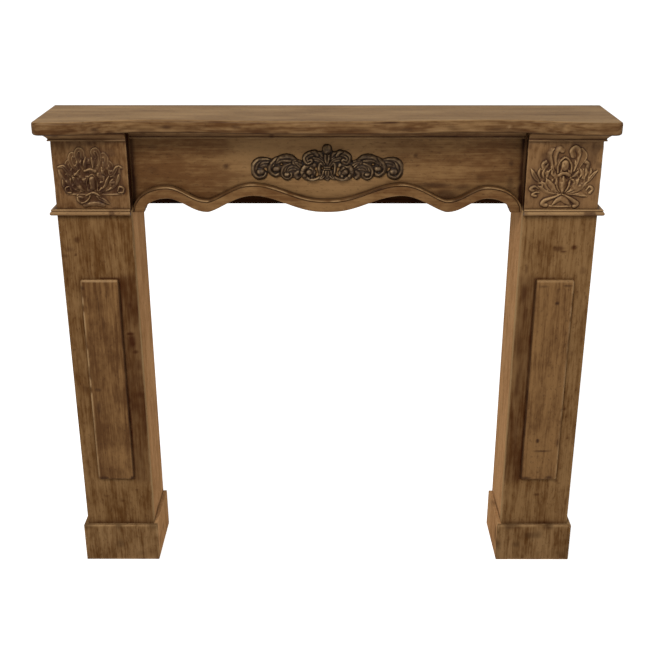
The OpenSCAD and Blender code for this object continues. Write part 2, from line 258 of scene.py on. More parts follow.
# Noise that the timber is made of: stretch along and across the grain, detail, shift with the seed
grainNoise = {
    "flow": (1.6, 16.0, 1.0, 3.1), "wobble": (9.0, 60.0, 2.0, 5.7), "Fibre": (14.0, 300.0, 4.0, 7.3),
    "Blotch": (5.0, 17.0, 2.0, 11.9), "Mottle": (50.0, 120.0, 4.0, 13.7), "pits": (120.0, 260.0, 2.0, 17.1),
}
grain = {"wobbleShare": 0.5, "turn": 6.283, "pitsFrom": 0.58, "pitsTo": 0.72, "fibreRise": 0.7,
         "figureRise": 0.3}


# Figure of flat-sawn pine, with the grain along the vector's x
def woodFigureGroup():
    outputs = ("Figure", "Fibre", "Blotch", "Mottle", "Dents", "Height")
    group, start, end = newGroup(
        "woodFigure",
        [("Vector", "Vector", None), ("Rings", "Float", 9.0), ("Seed", "Float", 0.0)],
        [(label, "Float") for label in outputs],
    )
    made = {}
    for label, (x, y, detail, shift) in grainNoise.items():
        stretch = {0: start.outputs["Vector"], 1: (x, y, y)}
        scaled = addNode(group, "VectorMath", stretch, operation="MULTIPLY").outputs[0]
        away = math1(group, "MULTIPLY", start.outputs["Seed"], shift)
        moved = addNode(group, "VectorMath", {0: scaled, 1: away}, operation="ADD").outputs[0]
        links = {"Vector": moved, "Scale": 1.0, "Detail": detail}
        made[label] = addNode(group, "TexNoise", links).outputs["Fac"]
    rings = math1(group, "MULTIPLY", made["flow"], start.outputs["Rings"])
    rings = math1(group, "ADD", rings, math1(group, "MULTIPLY", made["wobble"], grain["wobbleShare"]))
    wave = math1(group, "SINE", math1(group, "MULTIPLY", rings, grain["turn"]))
    made["Figure"] = math1(group, "MULTIPLY_ADD", wave, 0.5, 0.5)
    made["Dents"] = ramp(group, made["pits"], grain["pitsFrom"], grain["pitsTo"])
    rise = [(made["Fibre"], grain["fibreRise"]), (made["Figure"], grain["figureRise"])]
    made["Height"] = math1(group, "SUBTRACT", weighted(group, rise), made["Dents"])
    for label in outputs:
        group.links.new(made[label], end.inputs[label])
    return group


# Breakup runs from low to high: wear and painted highlight fade at its low end, and wax and painted shade at
# its high end
ageing = {"low": 0.25, "high": 0.75, "paleAtLow": 0.55, "darkAtLow": 1.15, "darkAtHigh": 0.75,
          "knotShare": 0.85, "gloss": 0.5, "darkGloss": -0.12}


# Dark wax left in hollows, painted shade, light rubbed arrises and painted highlights, all broken up by noise
def waxAndWearGroup():
    group, start, end = newGroup(
        "waxAndWear",
        [("Color", "Color", None), ("Wax", "Float", 0.0), ("Wear", "Float", 0.0), ("Knot", "Float", 0.0),
         ("Breakup", "Float", 0.5), ("Wax Color", "Color", None), ("Wear Color", "Color", None)],
        [("Color", "Color"), ("Gloss", "Float")],
    )
    get, low, high = start.outputs, ageing["low"], ageing["high"]
    paleShare = ramp(group, get["Breakup"], low, high, ageing["paleAtLow"], 1.0)
    darkShare = ramp(group, get["Breakup"], low, high, ageing["darkAtLow"], ageing["darkAtHigh"])
    paleAmount = math1(group, "MULTIPLY", get["Wear"], paleShare, clamp=True)
    darkAmount = math1(group, "MULTIPLY", get["Wax"], darkShare, clamp=True)
    knotty = math1(group, "MULTIPLY", get["Knot"], ageing["knotShare"], clamp=True)
    colour = colourMix(group, paleAmount, get["Color"], get["Wear Color"])
    colour = colourMix(group, knotty, colour, get["Wax Color"])
    colour = colourMix(group, darkAmount, colour, get["Wax Color"])
    group.links.new(colour, end.inputs["Color"])
    gloss = math1(group, "MULTIPLY_ADD", darkAmount, ageing["darkGloss"], ageing["gloss"])
    group.links.new(gloss, end.inputs["Gloss"])
    return group


# A material with only its shader, and the place on the object that its noise is made from
def startMaterial(name, sheen):
    material = bpy.data.materials.new(name)
    material.use_nodes = True
    tree = material.node_tree
    tree.nodes.clear()
    output = addNode(tree, "OutputMaterial")
    shader = addNode(tree, "BsdfPrincipled", {"Specular IOR Level": sheen})
    tree.links.new(shader.outputs[0], output.inputs["Surface"])
    return material, tree, shader, addNode(tree, "TexCoord").outputs["Object"]


# Puts the wax and painted shade, and the wear and painted highlight, over a colour, in the look's own colours
# for them
def addAge(tree, shader, look, sources):
    age = addNode(tree, "Group", sources, node_tree=groups["waxAndWear"])
    age.inputs["Wax Color"].default_value = look["waxAndShadeColour"] + (1,)
    age.inputs["Wear Color"].default_value = look["wearAndHighlightColour"] + (1,)
    tree.links.new(age.outputs["Color"], shader.inputs["Base Color"])
    tree.links.new(age.outputs["Gloss"], shader.inputs["Roughness"])


# darkEnd and lightEnd are where the mixed figure, as a share of all its parts, is darkest and palest
timber = {"darkEnd": 0.35, "lightEnd": 0.64, "bumpDepth": 0.4 * mm,
          "parts": ("figure", "fibre", "blotch", "mottle", "tone")}


def woodMaterial(name, look):
    material, tree, shader, place = startMaterial(name, look["sheen"])
    if look["grain"] == "z":
        turned = addNode(tree, "Mapping", {"Vector": place, "Rotation": (0, math.pi / 2, 0)})
        place = turned.outputs[0]
    links = {"Vector": place, "Rings": look["rings"], "Seed": look["seed"]}
    got = addNode(tree, "Group", links, node_tree=groups["woodFigure"]).outputs
    parts = [(got[label], look[label.lower()]) for label in ("Figure", "Fibre", "Blotch", "Mottle")]
    body = weighted(tree, parts + [(attribute(tree, "tone"), look["tone"])])
    total = sum(look[key] for key in timber["parts"])
    t = ramp(tree, body, timber["darkEnd"] * total, timber["lightEnd"] * total)
    colour = colourMix(tree, t, look["dark"] + (1,), look["light"] + (1,))
    dents = math1(tree, "MULTIPLY", got["Dents"], look["dents"])
    sources = {"Color": colour, "Breakup": got["Blotch"], "Wear": attribute(tree, "wear"),
               "Knot": attribute(tree, "knot"), "Wax": math1(tree, "MAXIMUM", attribute(tree, "wax"), dents)}
    addAge(tree, shader, look, sources)
    links = {"Height": got["Height"], "Strength": look["bump"], "Distance": timber["bumpDepth"]}
    tree.links.new(addNode(tree, "Bump", links).outputs[0], shader.inputs["Normal"])
    return material


woodLook = {
    "grain": "z", "rings": 7.0, "seed": 1.0, "figure": 0.22, "fibre": 1.0, "blotch": 0.5, "mottle": 0.75,
    "tone": 0.5, "dents": 0.35, "dark": (0.085, 0.035, 0.010), "light": (0.205, 0.106, 0.039),
    "waxAndShadeColour": (0.026, 0.008, 0.003), "wearAndHighlightColour": (0.42, 0.26, 0.12), "sheen": 0.08, "bump": 0.5,
}
woodLooks = {
    "shelf_timber": {"grain": "x", "seed": 2.0, "rings": 5.0, "light": (0.215, 0.118, 0.047)},
    "frieze_timber": {"grain": "x", "seed": 5.0, "rings": 6.0, "fibre": 0.7, "blotch": 0.35,
                      "dark": (0.105, 0.045, 0.014), "light": (0.205, 0.108, 0.040)},
    "leg_timber": {"seed": 3.0, "sheen": 0.0, "light": (0.205, 0.112, 0.045),
                   "waxAndShadeColour": (0.034, 0.008, 0.003)},
    # inner_timber is painted paler than the fronts: painted light on the faces that turn toward the hearth
    "inner_timber": {"seed": 7.0, "rings": 4.0, "sheen": 0.0, "dark": (0.33, 0.165, 0.066),
                     "light": (0.52, 0.285, 0.128)},
    "plinth_timber": {"seed": 9.0, "sheen": 0.0, "light": (0.225, 0.127, 0.054)},
    "moulding_timber": {"grain": "x", "seed": 4.0, "dark": (0.085, 0.034, 0.012),
                        "light": (0.20, 0.105, 0.041), "waxAndShadeColour": (0.034, 0.010, 0.004)},
    "carved_timber": {"seed": 6.0, "figure": 0.05, "fibre": 0.6, "mottle": 1.3,
                      "light": (0.205, 0.108, 0.043), "waxAndShadeColour": (0.030, 0.010, 0.005)},
    "panel_timber": {"seed": 12.0, "dark": (0.085, 0.035, 0.010), "light": (0.20, 0.102, 0.036)},
    # rail_timber's near-black colour is painted shade, for the rail deep in the shadow behind the apron
    "rail_timber": {"grain": "x", "seed": 8.0, "sheen": 0.0, "dark": (0.010, 0.003, 0.001),
                    "light": (0.028, 0.010, 0.003)},
}


def castMaterial(name, look):
    material, tree, shader, place = startMaterial(name, look["sheen"])
    links = {"Vector": place, "Scale": look["grime"], "Detail": 3.0}
    grime = addNode(tree, "TexNoise", links).outputs["Fac"]
    t = ramp(tree, grime, look["darkEnd"], look["lightEnd"])
    colour = colourMix(tree, t, look["dark"] + (1,), look["light"] + (1,))
    sources = {"Color": colour, "Breakup": grime, "Wax": attribute(tree, "wax"),
               "Wear": attribute(tree, "wear")}
    addAge(tree, shader, look, sources)
    return material


castLook = {
    "dark": (0.028, 0.014, 0.006), "light": (0.066, 0.037, 0.018), "waxAndShadeColour": (0.008, 0.003, 0.001),
    "wearAndHighlightColour": (0.34, 0.22, 0.11), "sheen": 0.15, "grime": 120.0, "darkEnd": 0.35, "lightEnd": 0.65,
}

groups = {"woodFigure": woodFigureGroup(), "waxAndWear": waxAndWearGroup()}
materials = {name: woodMaterial(name, {**woodLook, **look}) for name, look in woodLooks.items()}
materials["cast_ornament"] = castMaterial("cast_ornament", castLook)
slotOf = {s["node"]: s["material_slot"] for s in frame["record"]["subparts"]}
for node in frame["nodes"].values():
    node.data.materials.clear()
    node.data.materials.append(materials[slotOf[node.name]])
print("stage: materials")


# Oval knots and stains: each is (across, up, half width, half height, strength)
def paintSpots(a, b, spots):
    total = np.zeros(len(a))
    for x, z, w, h, strength in spots:
        r = np.sqrt(((a - x * mm) / (w * mm)) ** 2 + ((b - z * mm) / (h * mm)) ** 2)
        total = np.maximum(total, strength * smooth(1.25, 0.35, r))
    return total


# How far each point is from the nearest arris of its board, as 1 at the arris and 0 at reach
def nearArris(points, low, high, reach):
    gaps = np.minimum(points - np.array(low), np.array(high) - points)
    return smooth(reach, 0, np.sort(gaps, axis=1)[:, 1])


# The right leg's boards are a little paler than the left one's
boards = {"rightLift": 0.12, "wearSize": 22, "wearFrom": 0.25, "wearTo": 0.65, "toneSize": 45,
          "toneShare": 0.7, "streakSize": 12, "streakShare": 0.3}


def makeBoard(name, material, look, extra=None):
    low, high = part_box(name)
    points, faces = boardMesh(low, high, look["arris"] * mm, look["step"])
    paleMark = softNoise(points, boards["wearSize"] * mm, look["seed"])
    cloud = softNoise(points, boards["toneSize"] * mm, look["seed"] + 3)
    streak = softNoise(points * np.array(look["streak"]), boards["streakSize"] * mm, look["seed"] + 5)
    arris = nearArris(points, low, high, look["wearReach"] * mm)
    paint = {
        "wear": look["wear"] * arris * smooth(boards["wearFrom"], boards["wearTo"], paleMark),
        "tone": cloud * boards["toneShare"] + streak * boards["streakShare"],
        "wax": np.zeros(len(points)),
        "knot": np.zeros(len(points)),
    }
    if name.startswith("right"):
        paint["tone"] = paint["tone"] + boards["rightLift"]
    if extra:
        extra(points, paint, low, high)
    return makePiece(name, points, faces, [name], material, paint)


# Strips and butt are the stained parts; a butt is (across, foot, top, strength)
legBoard = {
    "arris": 1.2, "step": (3 * mm, 10 * mm, 3 * mm), "wear": 0.5, "wearReach": 2.5, "seed": 1,
    "streak": (1, 1, 0.12), "frontDepth": 1.3, "roughSize": 14, "grainSize": 7, "grainStretch": (1, 1, 0.15),
    "shadeUnderNeck": 9, "underNeck": 0.6, "shadeOverPlinth": 14, "overPlinth": (0.15, 0.75),
    "shadowByPanel": 6, "byPanel": (0.65, 1.0), "farSide": 0.35, "stripEnd": 20, "stripRange": (0.4, 1.5),
    "leftButt": (44, 400, 600, 0.75), "buttFade": 90, "buttRange": (0.6, 1.15), "knotRange": (0.75, 1.25),
    "leftStrip": 0.5, "rightStrip": 0.45, "leftSeed": 21, "rightSeed": 22, "grainSeed": 23,
    "leftSpots": [(-42, 812, 8, 8, 0.7), (-60, 790, 10, 6, 0.5), (-48, 778, 3, 3, 1.0),
                  (-75, 775, 14, 5, 0.5), (60, 574, 11, 22, 0.9), (62, 568, 6, 8, 1.2),
                  (58, 592, 10, 5, 1.1), (66, 548, 8, 5, 0.9), (62, 660, 4, 9, 0.6), (-55, 455, 7, 10, 0.5),
                  (-20, 740, 3, 16, 0.4), (30, 800, 2, 24, 0.4), (8, 160, 7, 4, 0.6),
                  (-30, 172, 12, 2, 0.6), (45, 190, 5, 3, 0.6)],
    "rightSpots": [(3, 792, 14, 7, 0.7), (13, 785, 9, 2.5, 1.0), (-6, 796, 5, 2.5, 0.9),
                   (36, 795, 8, 6, 0.8), (38, 797, 3, 3, 1.0), (-66, 690, 7, 26, 0.8), (-64, 745, 3, 14, 0.7),
                   (-58, 640, 6, 20, 0.5), (-70, 560, 5, 40, 0.5), (-62, 500, 4, 20, 0.5),
                   (-40, 795, 2, 18, 0.5), (60, 742, 8, 10, 0.4), (-66, 470, 5, 45, 0.4),
                   (48, 405, 5, 4, 0.6), (52, 545, 3, 8, 0.6), (0, 178, 9, 4, 0.7), (44, 215, 5, 5, 0.7),
                   (50, 208, 8, 2, 0.7), (62, 330, 5, 3, 0.8)],
}


def paintLeg(side):
    def paint(points, got, low, high):
        look = legBoard
        middle = (low[0] + high[0]) / 2
        x, z = points[:, 0] - middle, points[:, 2]
        front = points[:, 1] < low[1] + look["frontDepth"] * mm
        panelLow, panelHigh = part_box(side + "_raised_panel")
        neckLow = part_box(side + "_neck_moulding_front")[0].z
        rough = softNoise(points, look["roughSize"] * mm, look[side + "Seed"])
        # Painted shade under the neck moulding, and in the corner above the plinth
        under = smooth(look["shadeUnderNeck"] * mm, 1 * mm, neckLow - z) * look["underNeck"]
        over = smooth(look["shadeOverPlinth"] * mm, 0, z - plinthTopZ) * mix(*look["overPlinth"], rough)
        # The side that faces the hearth is the dark one: painted shadow beside the panel, and a stained strip
        gapX = np.maximum(panelLow.x - points[:, 0], points[:, 0] - panelHigh.x)
        hearthSide = (x > 0) if side == "left" else (x < 0)
        gapZ = np.maximum(panelLow.z - z, z - panelHigh.z)
        gap = np.maximum(gapX, gapZ)
        byPanel = smooth(look["shadowByPanel"] * mm, 1.5 * mm, gap) * mix(*look["byPanel"], rough)
        byPanel = byPanel * np.where(hearthSide, 1.0, look["farSide"])
        strip = np.where(hearthSide, 1.0, 0.0) * smooth(-2 * mm, 4 * mm, gapX)
        strip = strip * smooth(look["stripEnd"] * mm, 0, gapZ)
        stretched = points * np.array(look["grainStretch"])
        grainy = softNoise(stretched, look["grainSize"] * mm, look["grainSeed"])
        byPanel = np.maximum(byPanel, strip * look[side + "Strip"] * mix(*look["stripRange"], grainy))
        if side == "left":
            # A reddish board end that stops in a straight joint
            a, foot, top, strength = look["leftButt"]
            butt = strength * smooth(a - 1, a + 1, x / mm) * smooth(top, top - look["buttFade"], z / mm)
            butt = butt * smooth(foot - 0.5, foot + 1, z / mm)
            byPanel = np.maximum(byPanel, butt * mix(*look["buttRange"], rough))
        got["wax"] = np.maximum.reduce([under, over, byPanel]) * front
        # The edge of the board that faces the hearth is painted as pale as the cheek behind it, as painted
        # light
        inward = (high[0] - points[:, 0]) if side == "left" else (points[:, 0] - low[0])
        got["wear"] = np.maximum(got["wear"], smooth(1.0 * mm, 0.2 * mm, inward) * ~front)
        got["knot"] = paintSpots(x, z, look[side + "Spots"]) * mix(*look["knotRange"], rough) * front
    return paint


for side in ("left", "right"):
    makeBoard(side + "_leg_front", "leg_timber", legBoard, paintLeg(side))
print("stage: leg fronts")

cheekBoard = {
    "arris": 0.8, "step": (6 * mm, 9 * mm, 9 * mm), "wear": 0.3, "wearReach": 2.5, "seed": 7,
    "streak": (1, 1, 0.1), "shadeOverPlinth": 10, "overPlinth": (0.2, 0.8), "roughSize": 16,
}


def paintCheek(points, got, low, high):
    rough = softNoise(points, cheekBoard["roughSize"] * mm, 31)
    # Painted shade in the corner above the plinth
    over = smooth(cheekBoard["shadeOverPlinth"] * mm, 0, points[:, 2] - plinthTopZ)
    got["wax"] = over * mix(*cheekBoard["overPlinth"], rough)


for side in ("left", "right"):
    makeBoard(side + "_leg_outer_cheek", "leg_timber", cheekBoard, paintCheek)
print("stage: cheeks")


# Above the apron's lowest line the inner cheek gets dark wax and painted shade, in the dark corner beside the
# frieze
def paintInner(points, got, low, high):
    paintCheek(points, got, low, high)
    corner = smooth(friezeLow.z + 2 * mm, friezeLow.z + 14 * mm, points[:, 2])
    ahead = smooth(friezeLow.y + 12 * mm, friezeLow.y, points[:, 1])
    got["wax"] = np.maximum(got["wax"], corner * ahead)


for side in ("left", "right"):
    makeBoard(side + "_leg_inner_cheek", "inner_timber", cheekBoard, paintInner)

panelBoard = {
    "leftEdge": 1.0, "rightEdge": 0.65, "leftTone": -0.35, "rightTone": 0.1, "radius": 6,
    "step": (2.5 * mm, 5 * mm, 2.5 * mm), "seed": 11,
    "roughSize": 18, "toneSize": 50, "topHighlight": 0.7, "sideShadow": (0.65, 1.0), "footShade": (0.2, 0.7),
    "leftSpots": [(-38, 482, 5, 6, 0.8), (2, 395, 2, 22, 0.5), (-24, 235, 9, 5, 0.6), (-26, 190, 6, 20, 0.5),
                  (-28, 6, 12, 5, 0.8), (38, 4, 5, 7, 1.0), (-6, 440, 1.5, 26, 0.5)],
    "rightSpots": [(8, 447, 5, 4.5, 1.2), (-10, 105, 4.5, 6.5, 1.2), (2, 78, 26, 2.0, 1.0),
                   (-30, 6, 14, 4, 0.8), (24, 8, 10, 5, 0.8), (28, 488, 12, 3, 0.8), (-25, 486, 12, 3, 0.6),
                   (36, 100, 3, 12, 0.7)],
}


# A panel whose front edge is rounded on all four sides
def makePanel(side):
    name = side + "_raised_panel"
    low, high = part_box(name)
    radius = panelBoard["radius"] * mm
    thick = high.y - low.y
    points, faces = boardMesh((low.x, low.y, low.z), (high.x, low.y + 2 * thick, high.z), radius,
                              panelBoard["step"])
    points[:, 1] = np.minimum(points[:, 1], high.y)
    x, z = points[:, 0] - low.x, points[:, 2] - low.z
    rough = softNoise(points, panelBoard["roughSize"] * mm, panelBoard["seed"] + len(side))
    rim = smooth(low.y + 6 * mm, low.y + 3 * mm, points[:, 1])
    # A painted highlight along the top edge
    atTop = smooth(6 * mm, 1 * mm, high.z - points[:, 2]) * rim * panelBoard["topHighlight"]
    # The outer edge gets a painted highlight, and the edge toward the hearth and the foot get painted shadow
    fromRight = high.x - low.x - x
    outerEdge, hearthEdge = (x, fromRight) if side == "left" else (fromRight, x)
    paleMark = smooth(5.5 * mm, 2.5 * mm, outerEdge) * smooth(0.15, 0.5, rough)
    darkSide = smooth(4 * mm, 2 * mm, hearthEdge) * mix(*panelBoard["sideShadow"], rough)
    foot = smooth(5 * mm, 0.5 * mm, z) * mix(*panelBoard["footShade"], rough)
    paint = {
        "wear": np.maximum(atTop, paleMark) * panelBoard[side + "Edge"],
        "wax": np.maximum(darkSide, foot),
        "tone": softNoise(points, panelBoard["toneSize"] * mm, 13 + len(side)) + panelBoard[side + "Tone"],
        "knot": paintSpots(points[:, 0] - (low.x + high.x) / 2, z, panelBoard[side + "Spots"]),
    }
    piece = makePiece(name, points, faces, [name], "carved_timber", paint)
    piece.data.materials[0] = materials["panel_timber"]
    return piece


for side in ("left", "right"):
    makePanel(side)
print("stage: raised panels")

plinthBoard = {
    "arris": 1.0, "step": (4 * mm, 6 * mm, 4 * mm), "wear": 0.75, "wearReach": 3.5, "seed": 15,
    "streak": (1, 1, 0.3), "roughSize": 18, "rimWearAndHighlight": (0.1, 0.6), "patchSize": 26, "patchWax": 0.5,
}


def paintPlinth(points, got, low, high):
    look = plinthBoard
    rough = softNoise(points, look["roughSize"] * mm, 41)
    # Wear and a painted highlight along the top edge
    rim = smooth(5 * mm, 1 * mm, high[2] - points[:, 2])
    got["wear"] = np.maximum(got["wear"], rim * mix(*look["rimWearAndHighlight"], rough))
    got["wax"] = smooth(0.62, 0.95, softNoise(points, look["patchSize"] * mm, 43)) * look["patchWax"]


for side in ("left", "right"):
    for part in ("front", "inner", "outer"):
        # The inner boards take the paler inner_timber, which is painted light
        slotName = "plinth_timber" if part != "inner" else "inner_timber"
        makeBoard(f"{side}_plinth_{part}", slotName, plinthBoard, paintPlinth)
print("stage: plinths")

friezeBoard = {
    "cell": 4 * mm, "rows": 40, "endWaxAndShade": 11, "endRagged": 6, "shadeUnderMoulding": 5, "topRange": (0.1, 0.4),
    "overBand": 6, "overRange": (0.2, 0.75), "roughSize": 9, "toneSize": 30, "middleAt": -0.02,
    "middlePale": 0.13, "wearReach": (0.26, 0.12), "middleTone": (-0.5, 0.6), "toneReach": (0.24, 0.12),
    "spots": [(-217, 963, 8, 7, 0.8), (-217, 963, 4, 3.5, 1.0), (189, 987, 5, 5, 0.8), (395, 970, 6, 8, 0.7),
              (-372, 1005, 12, 7, 0.4), (-375, 955, 14, 9, 0.3), (258, 900, 30, 15, 0.75),
              (232, 922, 48, 7, 0.75), (292, 917, 22, 8, 0.65), (168, 912, 20, 4, 0.8),
              (395, 925, 8, 20, 0.5), (330, 940, 12, 5, 0.4)],
}

# The apron's arches: how far each rises, and where they turn, as shares of the way from the middle
# to the leg. The rest is the band along them, with its wax, wear, painted shade and painted highlight
apron = {
    "innerRise": 36, "outerRise": 30, "innerAt": 0.381, "pendantAt": 0.614, "outerAt": 0.821,
    "bandWidth": 25, "bead": 3, "groove": 1.6, "grooveDepth": 2.6, "arris": 1.2, "halfStations": 150,
    "darkRange": (0.6, 1.0), "riseFrom": (0.08, 0.35), "riseWax": (0.5, 0.9), "risePaleCut": 0.85,
    "paleFrom": (0.3, 0.75), "crestHighlight": 0.5, "roughSize": 16, "toneSize": 24,
}


# Height of the apron's line that runs lift above its lower edge, at x from the middle, in mm
def apronLine(x, lift):
    inner = legInner / mm
    a, b, c = apron["innerAt"] * inner, apron["pendantAt"] * inner, apron["outerAt"] * inner
    foot = inner - apron["bandWidth"]
    x = np.abs(np.asarray(x, float))
    rise = np.where(x < a, apron["innerRise"] * ease(x / a, 1.2),
                    np.where(x < b, apron["innerRise"] * ease((b - x) / (b - a), 0.7),
                             apron["outerRise"] * ease((x - b) / (c - b), 1.1)))
    fall = np.sqrt(np.clip(1 - ((x - c) / (foot - c + lift)) ** 2, 0, 1))
    return friezeLow.z / mm + np.where(x < c, rise + lift, (apron["outerRise"] + lift) * fall)


# The frieze board: a grid whose lowest row follows the apron's line
def makeFrieze():
    look = friezeBoard
    n, m = int(2 * friezeHigh.x / look["cell"]), look["rows"]
    stationX = np.linspace(friezeLow.x, friezeHigh.x, n + 1)
    foot = np.where(np.abs(stationX) > legInner - apron["bandWidth"] * mm, friezeLow.z,
                    apronLine(stationX / mm, 0) * mm)
    up = np.linspace(0, 1, m + 1)
    gx = np.repeat(stationX[:, None], m + 1, 1)
    gz = foot[:, None] + (friezeHigh.z - foot[:, None]) * up[None, :]
    front = np.stack([gx, np.full_like(gx, friezeLow.y), gz], -1).reshape(-1, 3)
    back = front.copy()
    back[:, 1] = friezeHigh.y
    points = np.concatenate([front, back])
    rim = gridRim(n + 1, m + 1)
    faces = [tuple(f) for f in gridFaces(n + 1, m + 1)]
    faces += [tuple(f + len(front)) for f in gridFaces(n + 1, m + 1)]
    faces += ringFaces(rim, rim + len(front))
    x, z = points[:, 0], points[:, 2]
    rough = softNoise(points, look["roughSize"] * mm, 51)
    # Dark wax and painted shade at the ends, in the corners beside the blocks
    fromEnd = legInner - np.abs(x) + (rough - 0.5) * look["endRagged"] * mm
    ends = smooth(look["endWaxAndShade"] * mm, 3 * mm, fromEnd)
    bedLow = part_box("frieze_bed_moulding")[0].z
    # Painted shade under the bed moulding
    top = smooth(look["shadeUnderMoulding"] * mm, 0, bedLow - z) * mix(*look["topRange"], rough)
    line = np.where(np.abs(x) > legInner - 1 * mm, friezeLow.z, apronLine(x / mm, apron["bandWidth"]) * mm)
    # Dark wax and painted shade in the corner over the band
    over = smooth(look["overBand"] * mm, 0, np.abs(z - line)) * mix(*look["overRange"], rough)
    fromMiddle = np.abs(x - look["middleAt"])
    # The board is painted paler in the middle and darker towards its left end
    lift = mix(*look["middleTone"], smooth(*look["toneReach"], fromMiddle)) * smooth(0.25, 0.0, x)
    paint = {
        "wax": np.maximum.reduce([ends, top, over]),
        "wear": look["middlePale"] * smooth(*look["wearReach"], fromMiddle),
        "tone": softNoise(points * np.array((0.3, 1, 1)), look["toneSize"] * mm, 53) + lift,
        "knot": paintSpots(x, z, look["spots"]),
    }
    return makePiece("frieze_board", points, faces, ["frieze_board"], "frieze_timber", paint, flat=True)


makeFrieze()

# The rail is coloured near-black: painted shade behind the arches
railBoard = {
    "arris": 1.0, "step": (20 * mm, 10 * mm, 10 * mm), "wear": 0.0, "wearReach": 2, "seed": 19,
    "streak": (0.2, 1, 1),
}
makeBoard("frieze_rail", "rail_timber", railBoard)
print("stage: frieze")


# The band along the apron: a rounded bead over a groove over a broad flat.
# Each point of its section is up and out in mm, then its wax and painted shade, then its wear and painted
# highlight
def makeBand():
    low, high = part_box("apron_band")
    faceOut = (high.y - low.y) / mm
    h, bead, groove, deep = apron["bandWidth"], apron["bead"], apron["groove"], apron["grooveDepth"]
    flatTop = h - bead - groove
    arris, r = apron["arris"], bead / 2
    section = [(0, 0, 0, 0), (0, 4, 0, 0), (0, faceOut - 3, 0.1, 0), (0, faceOut - arris, 0.0, 0.3),
               (0.35 * arris, faceOut - 0.35 * arris, 0, 0.45), (arris, faceOut, 0, 0.2),
               (arris + 1.5, faceOut, 0, 0)]
    section += [(mix(arris + 1.5, flatTop - 2, t), faceOut, 0, 0) for t in (0.25, 0.5, 0.75, 1)]
    section += [(flatTop - 0.9, faceOut, 0.1, 0), (flatTop - 0.2, faceOut - 0.3, 0.35, 0),
                (flatTop, faceOut - 0.8, 0.7, 0), (flatTop + 0.1, faceOut - deep, 0.9, 0),
                (flatTop + groove - 0.1, faceOut - deep, 0.9, 0)]
    # The bead's upper side gets a painted highlight, and the groove and the back of the top painted shade
    for a in range(0, 181, 20):
        t = math.radians(a)
        light = 0.6 * max(0.0, math.sin(t * 0.72))
        section.append((h - r - r * math.cos(t), faceOut - 1.2 + 1.2 * math.sin(t), 0.5 * (a < 20), light))
    section += [(h, faceOut - 4, 0.35, 0.3), (h, faceOut - 10, 0.5, 0.15), (h, 6, 0.75, 0.1), (h, 0, 1, 0)]
    inner = legInner / mm
    c = apron["outerAt"] * inner
    count = apron["halfStations"]
    half = [i / count for i in range(count + 1)] + [1 + math.sin(math.radians(a)) for a in range(5, 91, 5)]
    stations = [-s for s in reversed(half)] + half[1:]

    def place(s, p):
        lift, out = p[0], p[1]
        end = inner - apron["bandWidth"] + lift
        x = abs(s) * c if abs(s) <= 1 else c + (end - c) * (abs(s) - 1)
        z = float(apronLine(min(x, end - 1e-9), lift)) if abs(s) < 2 else friezeLow.z / mm
        return (math.copysign(x, s) * mm, friezeLow.y - out * mm, z * mm)

    points, faces = sweptMesh(section, stations, place)
    # Slopes that rise to the right hold dark wax along the bead; on the others the bead keeps its painted
    # highlight and rubbed light
    s = np.repeat(np.array(stations), len(section))
    x = points[:, 0] / mm
    slope = (apronLine(x + 1, h) - apronLine(x - 1, h)) / 2
    rough = softNoise(points, apron["roughSize"] * mm, 61)
    rising = smooth(*apron["riseFrom"], slope)
    lift, _, wax, wear = np.tile(section, (len(stations), 1)).T
    onBead = (wear > 0.3) * (lift > arris)
    # A painted highlight on the bead at the crests of the outer arches
    crest = smooth(0.75, 1.0, np.abs(s)) * smooth(1.35, 1.0, np.abs(s))
    paleMark = wear * smooth(*apron["paleFrom"], rough) * (1 - apron["risePaleCut"] * rising)
    darkAmount = wax * mix(*apron["darkRange"], rough)
    paint = {
        "wax": np.maximum(darkAmount, rising * onBead * mix(*apron["riseWax"], rough)),
        "wear": paleMark + crest * (wear > 0.4) * apron["crestHighlight"],
        "tone": softNoise(points * np.array((0.5, 1, 1)), apron["toneSize"] * mm, 63),
        "knot": np.zeros(len(points)),
    }
    return makePiece("apron_band", points, faces, ["apron_band"], "frieze_timber", paint)


makeBand()
print("stage: apron band")

bedMoulding = {"bead": 1.6, "fillet": 2.0, "proj": 18.5, "cove": 1.8}
neckMoulding = {"fillet": 4.0, "quirk": 1.0, "blunt": 0.6, "proj": 12.5, "back": 2.0}
mouldings = {
    "stations": 60, "friezeStations": 220, "roughSize": 15, "toneSize": 20, "knotSize": 18, "knot": 0.7,
    "darkRange": (0.55, 1.05), "paleRange": (0.3, 0.95), "neckLift": 0.1, "rightLift": 0.22,
}


# The sections of the mouldings; each point is out and up in mm, then its wax and painted shade, then its wear
# and painted highlight
def bedSection(h):
    r = bedMoulding["bead"]
    quirk, low, top, proj = 2.25 * r, 3 * r, h - bedMoulding["fillet"], bedMoulding["proj"]
    # The quirk and the cove's top under the shelf get painted shade, the bead's top and the cove's middle a
    # painted highlight
    section = [(0, 0, 1, 0), (1.5, 0, 0.9, 0)]
    for a in (-90, -60, -30, 0, 30, 60):
        t = math.radians(a)
        section.append((quirk + r * math.cos(t), r + r * math.sin(t), 0.2, 0.75 if a > -40 else 0.1))
    section.append((quirk + 0.1, low - 0.5, 1.0, 0))
    for i in range(9):
        t = i / 8
        lit = 0.4 if 2 < i < 6 else 0.1
        dark = 0.9 if i == 0 else 0.6 if i > 6 else 0.15
        out = mix(quirk, proj, t) - 4 * bedMoulding["cove"] * t * (1 - t)
        section.append((out, mix(low, top, t), dark, lit))
    section += [(proj, top + 0.3, 0.9, 0), (proj, h, 1, 0), (0, h, 1, 0)]
    return section


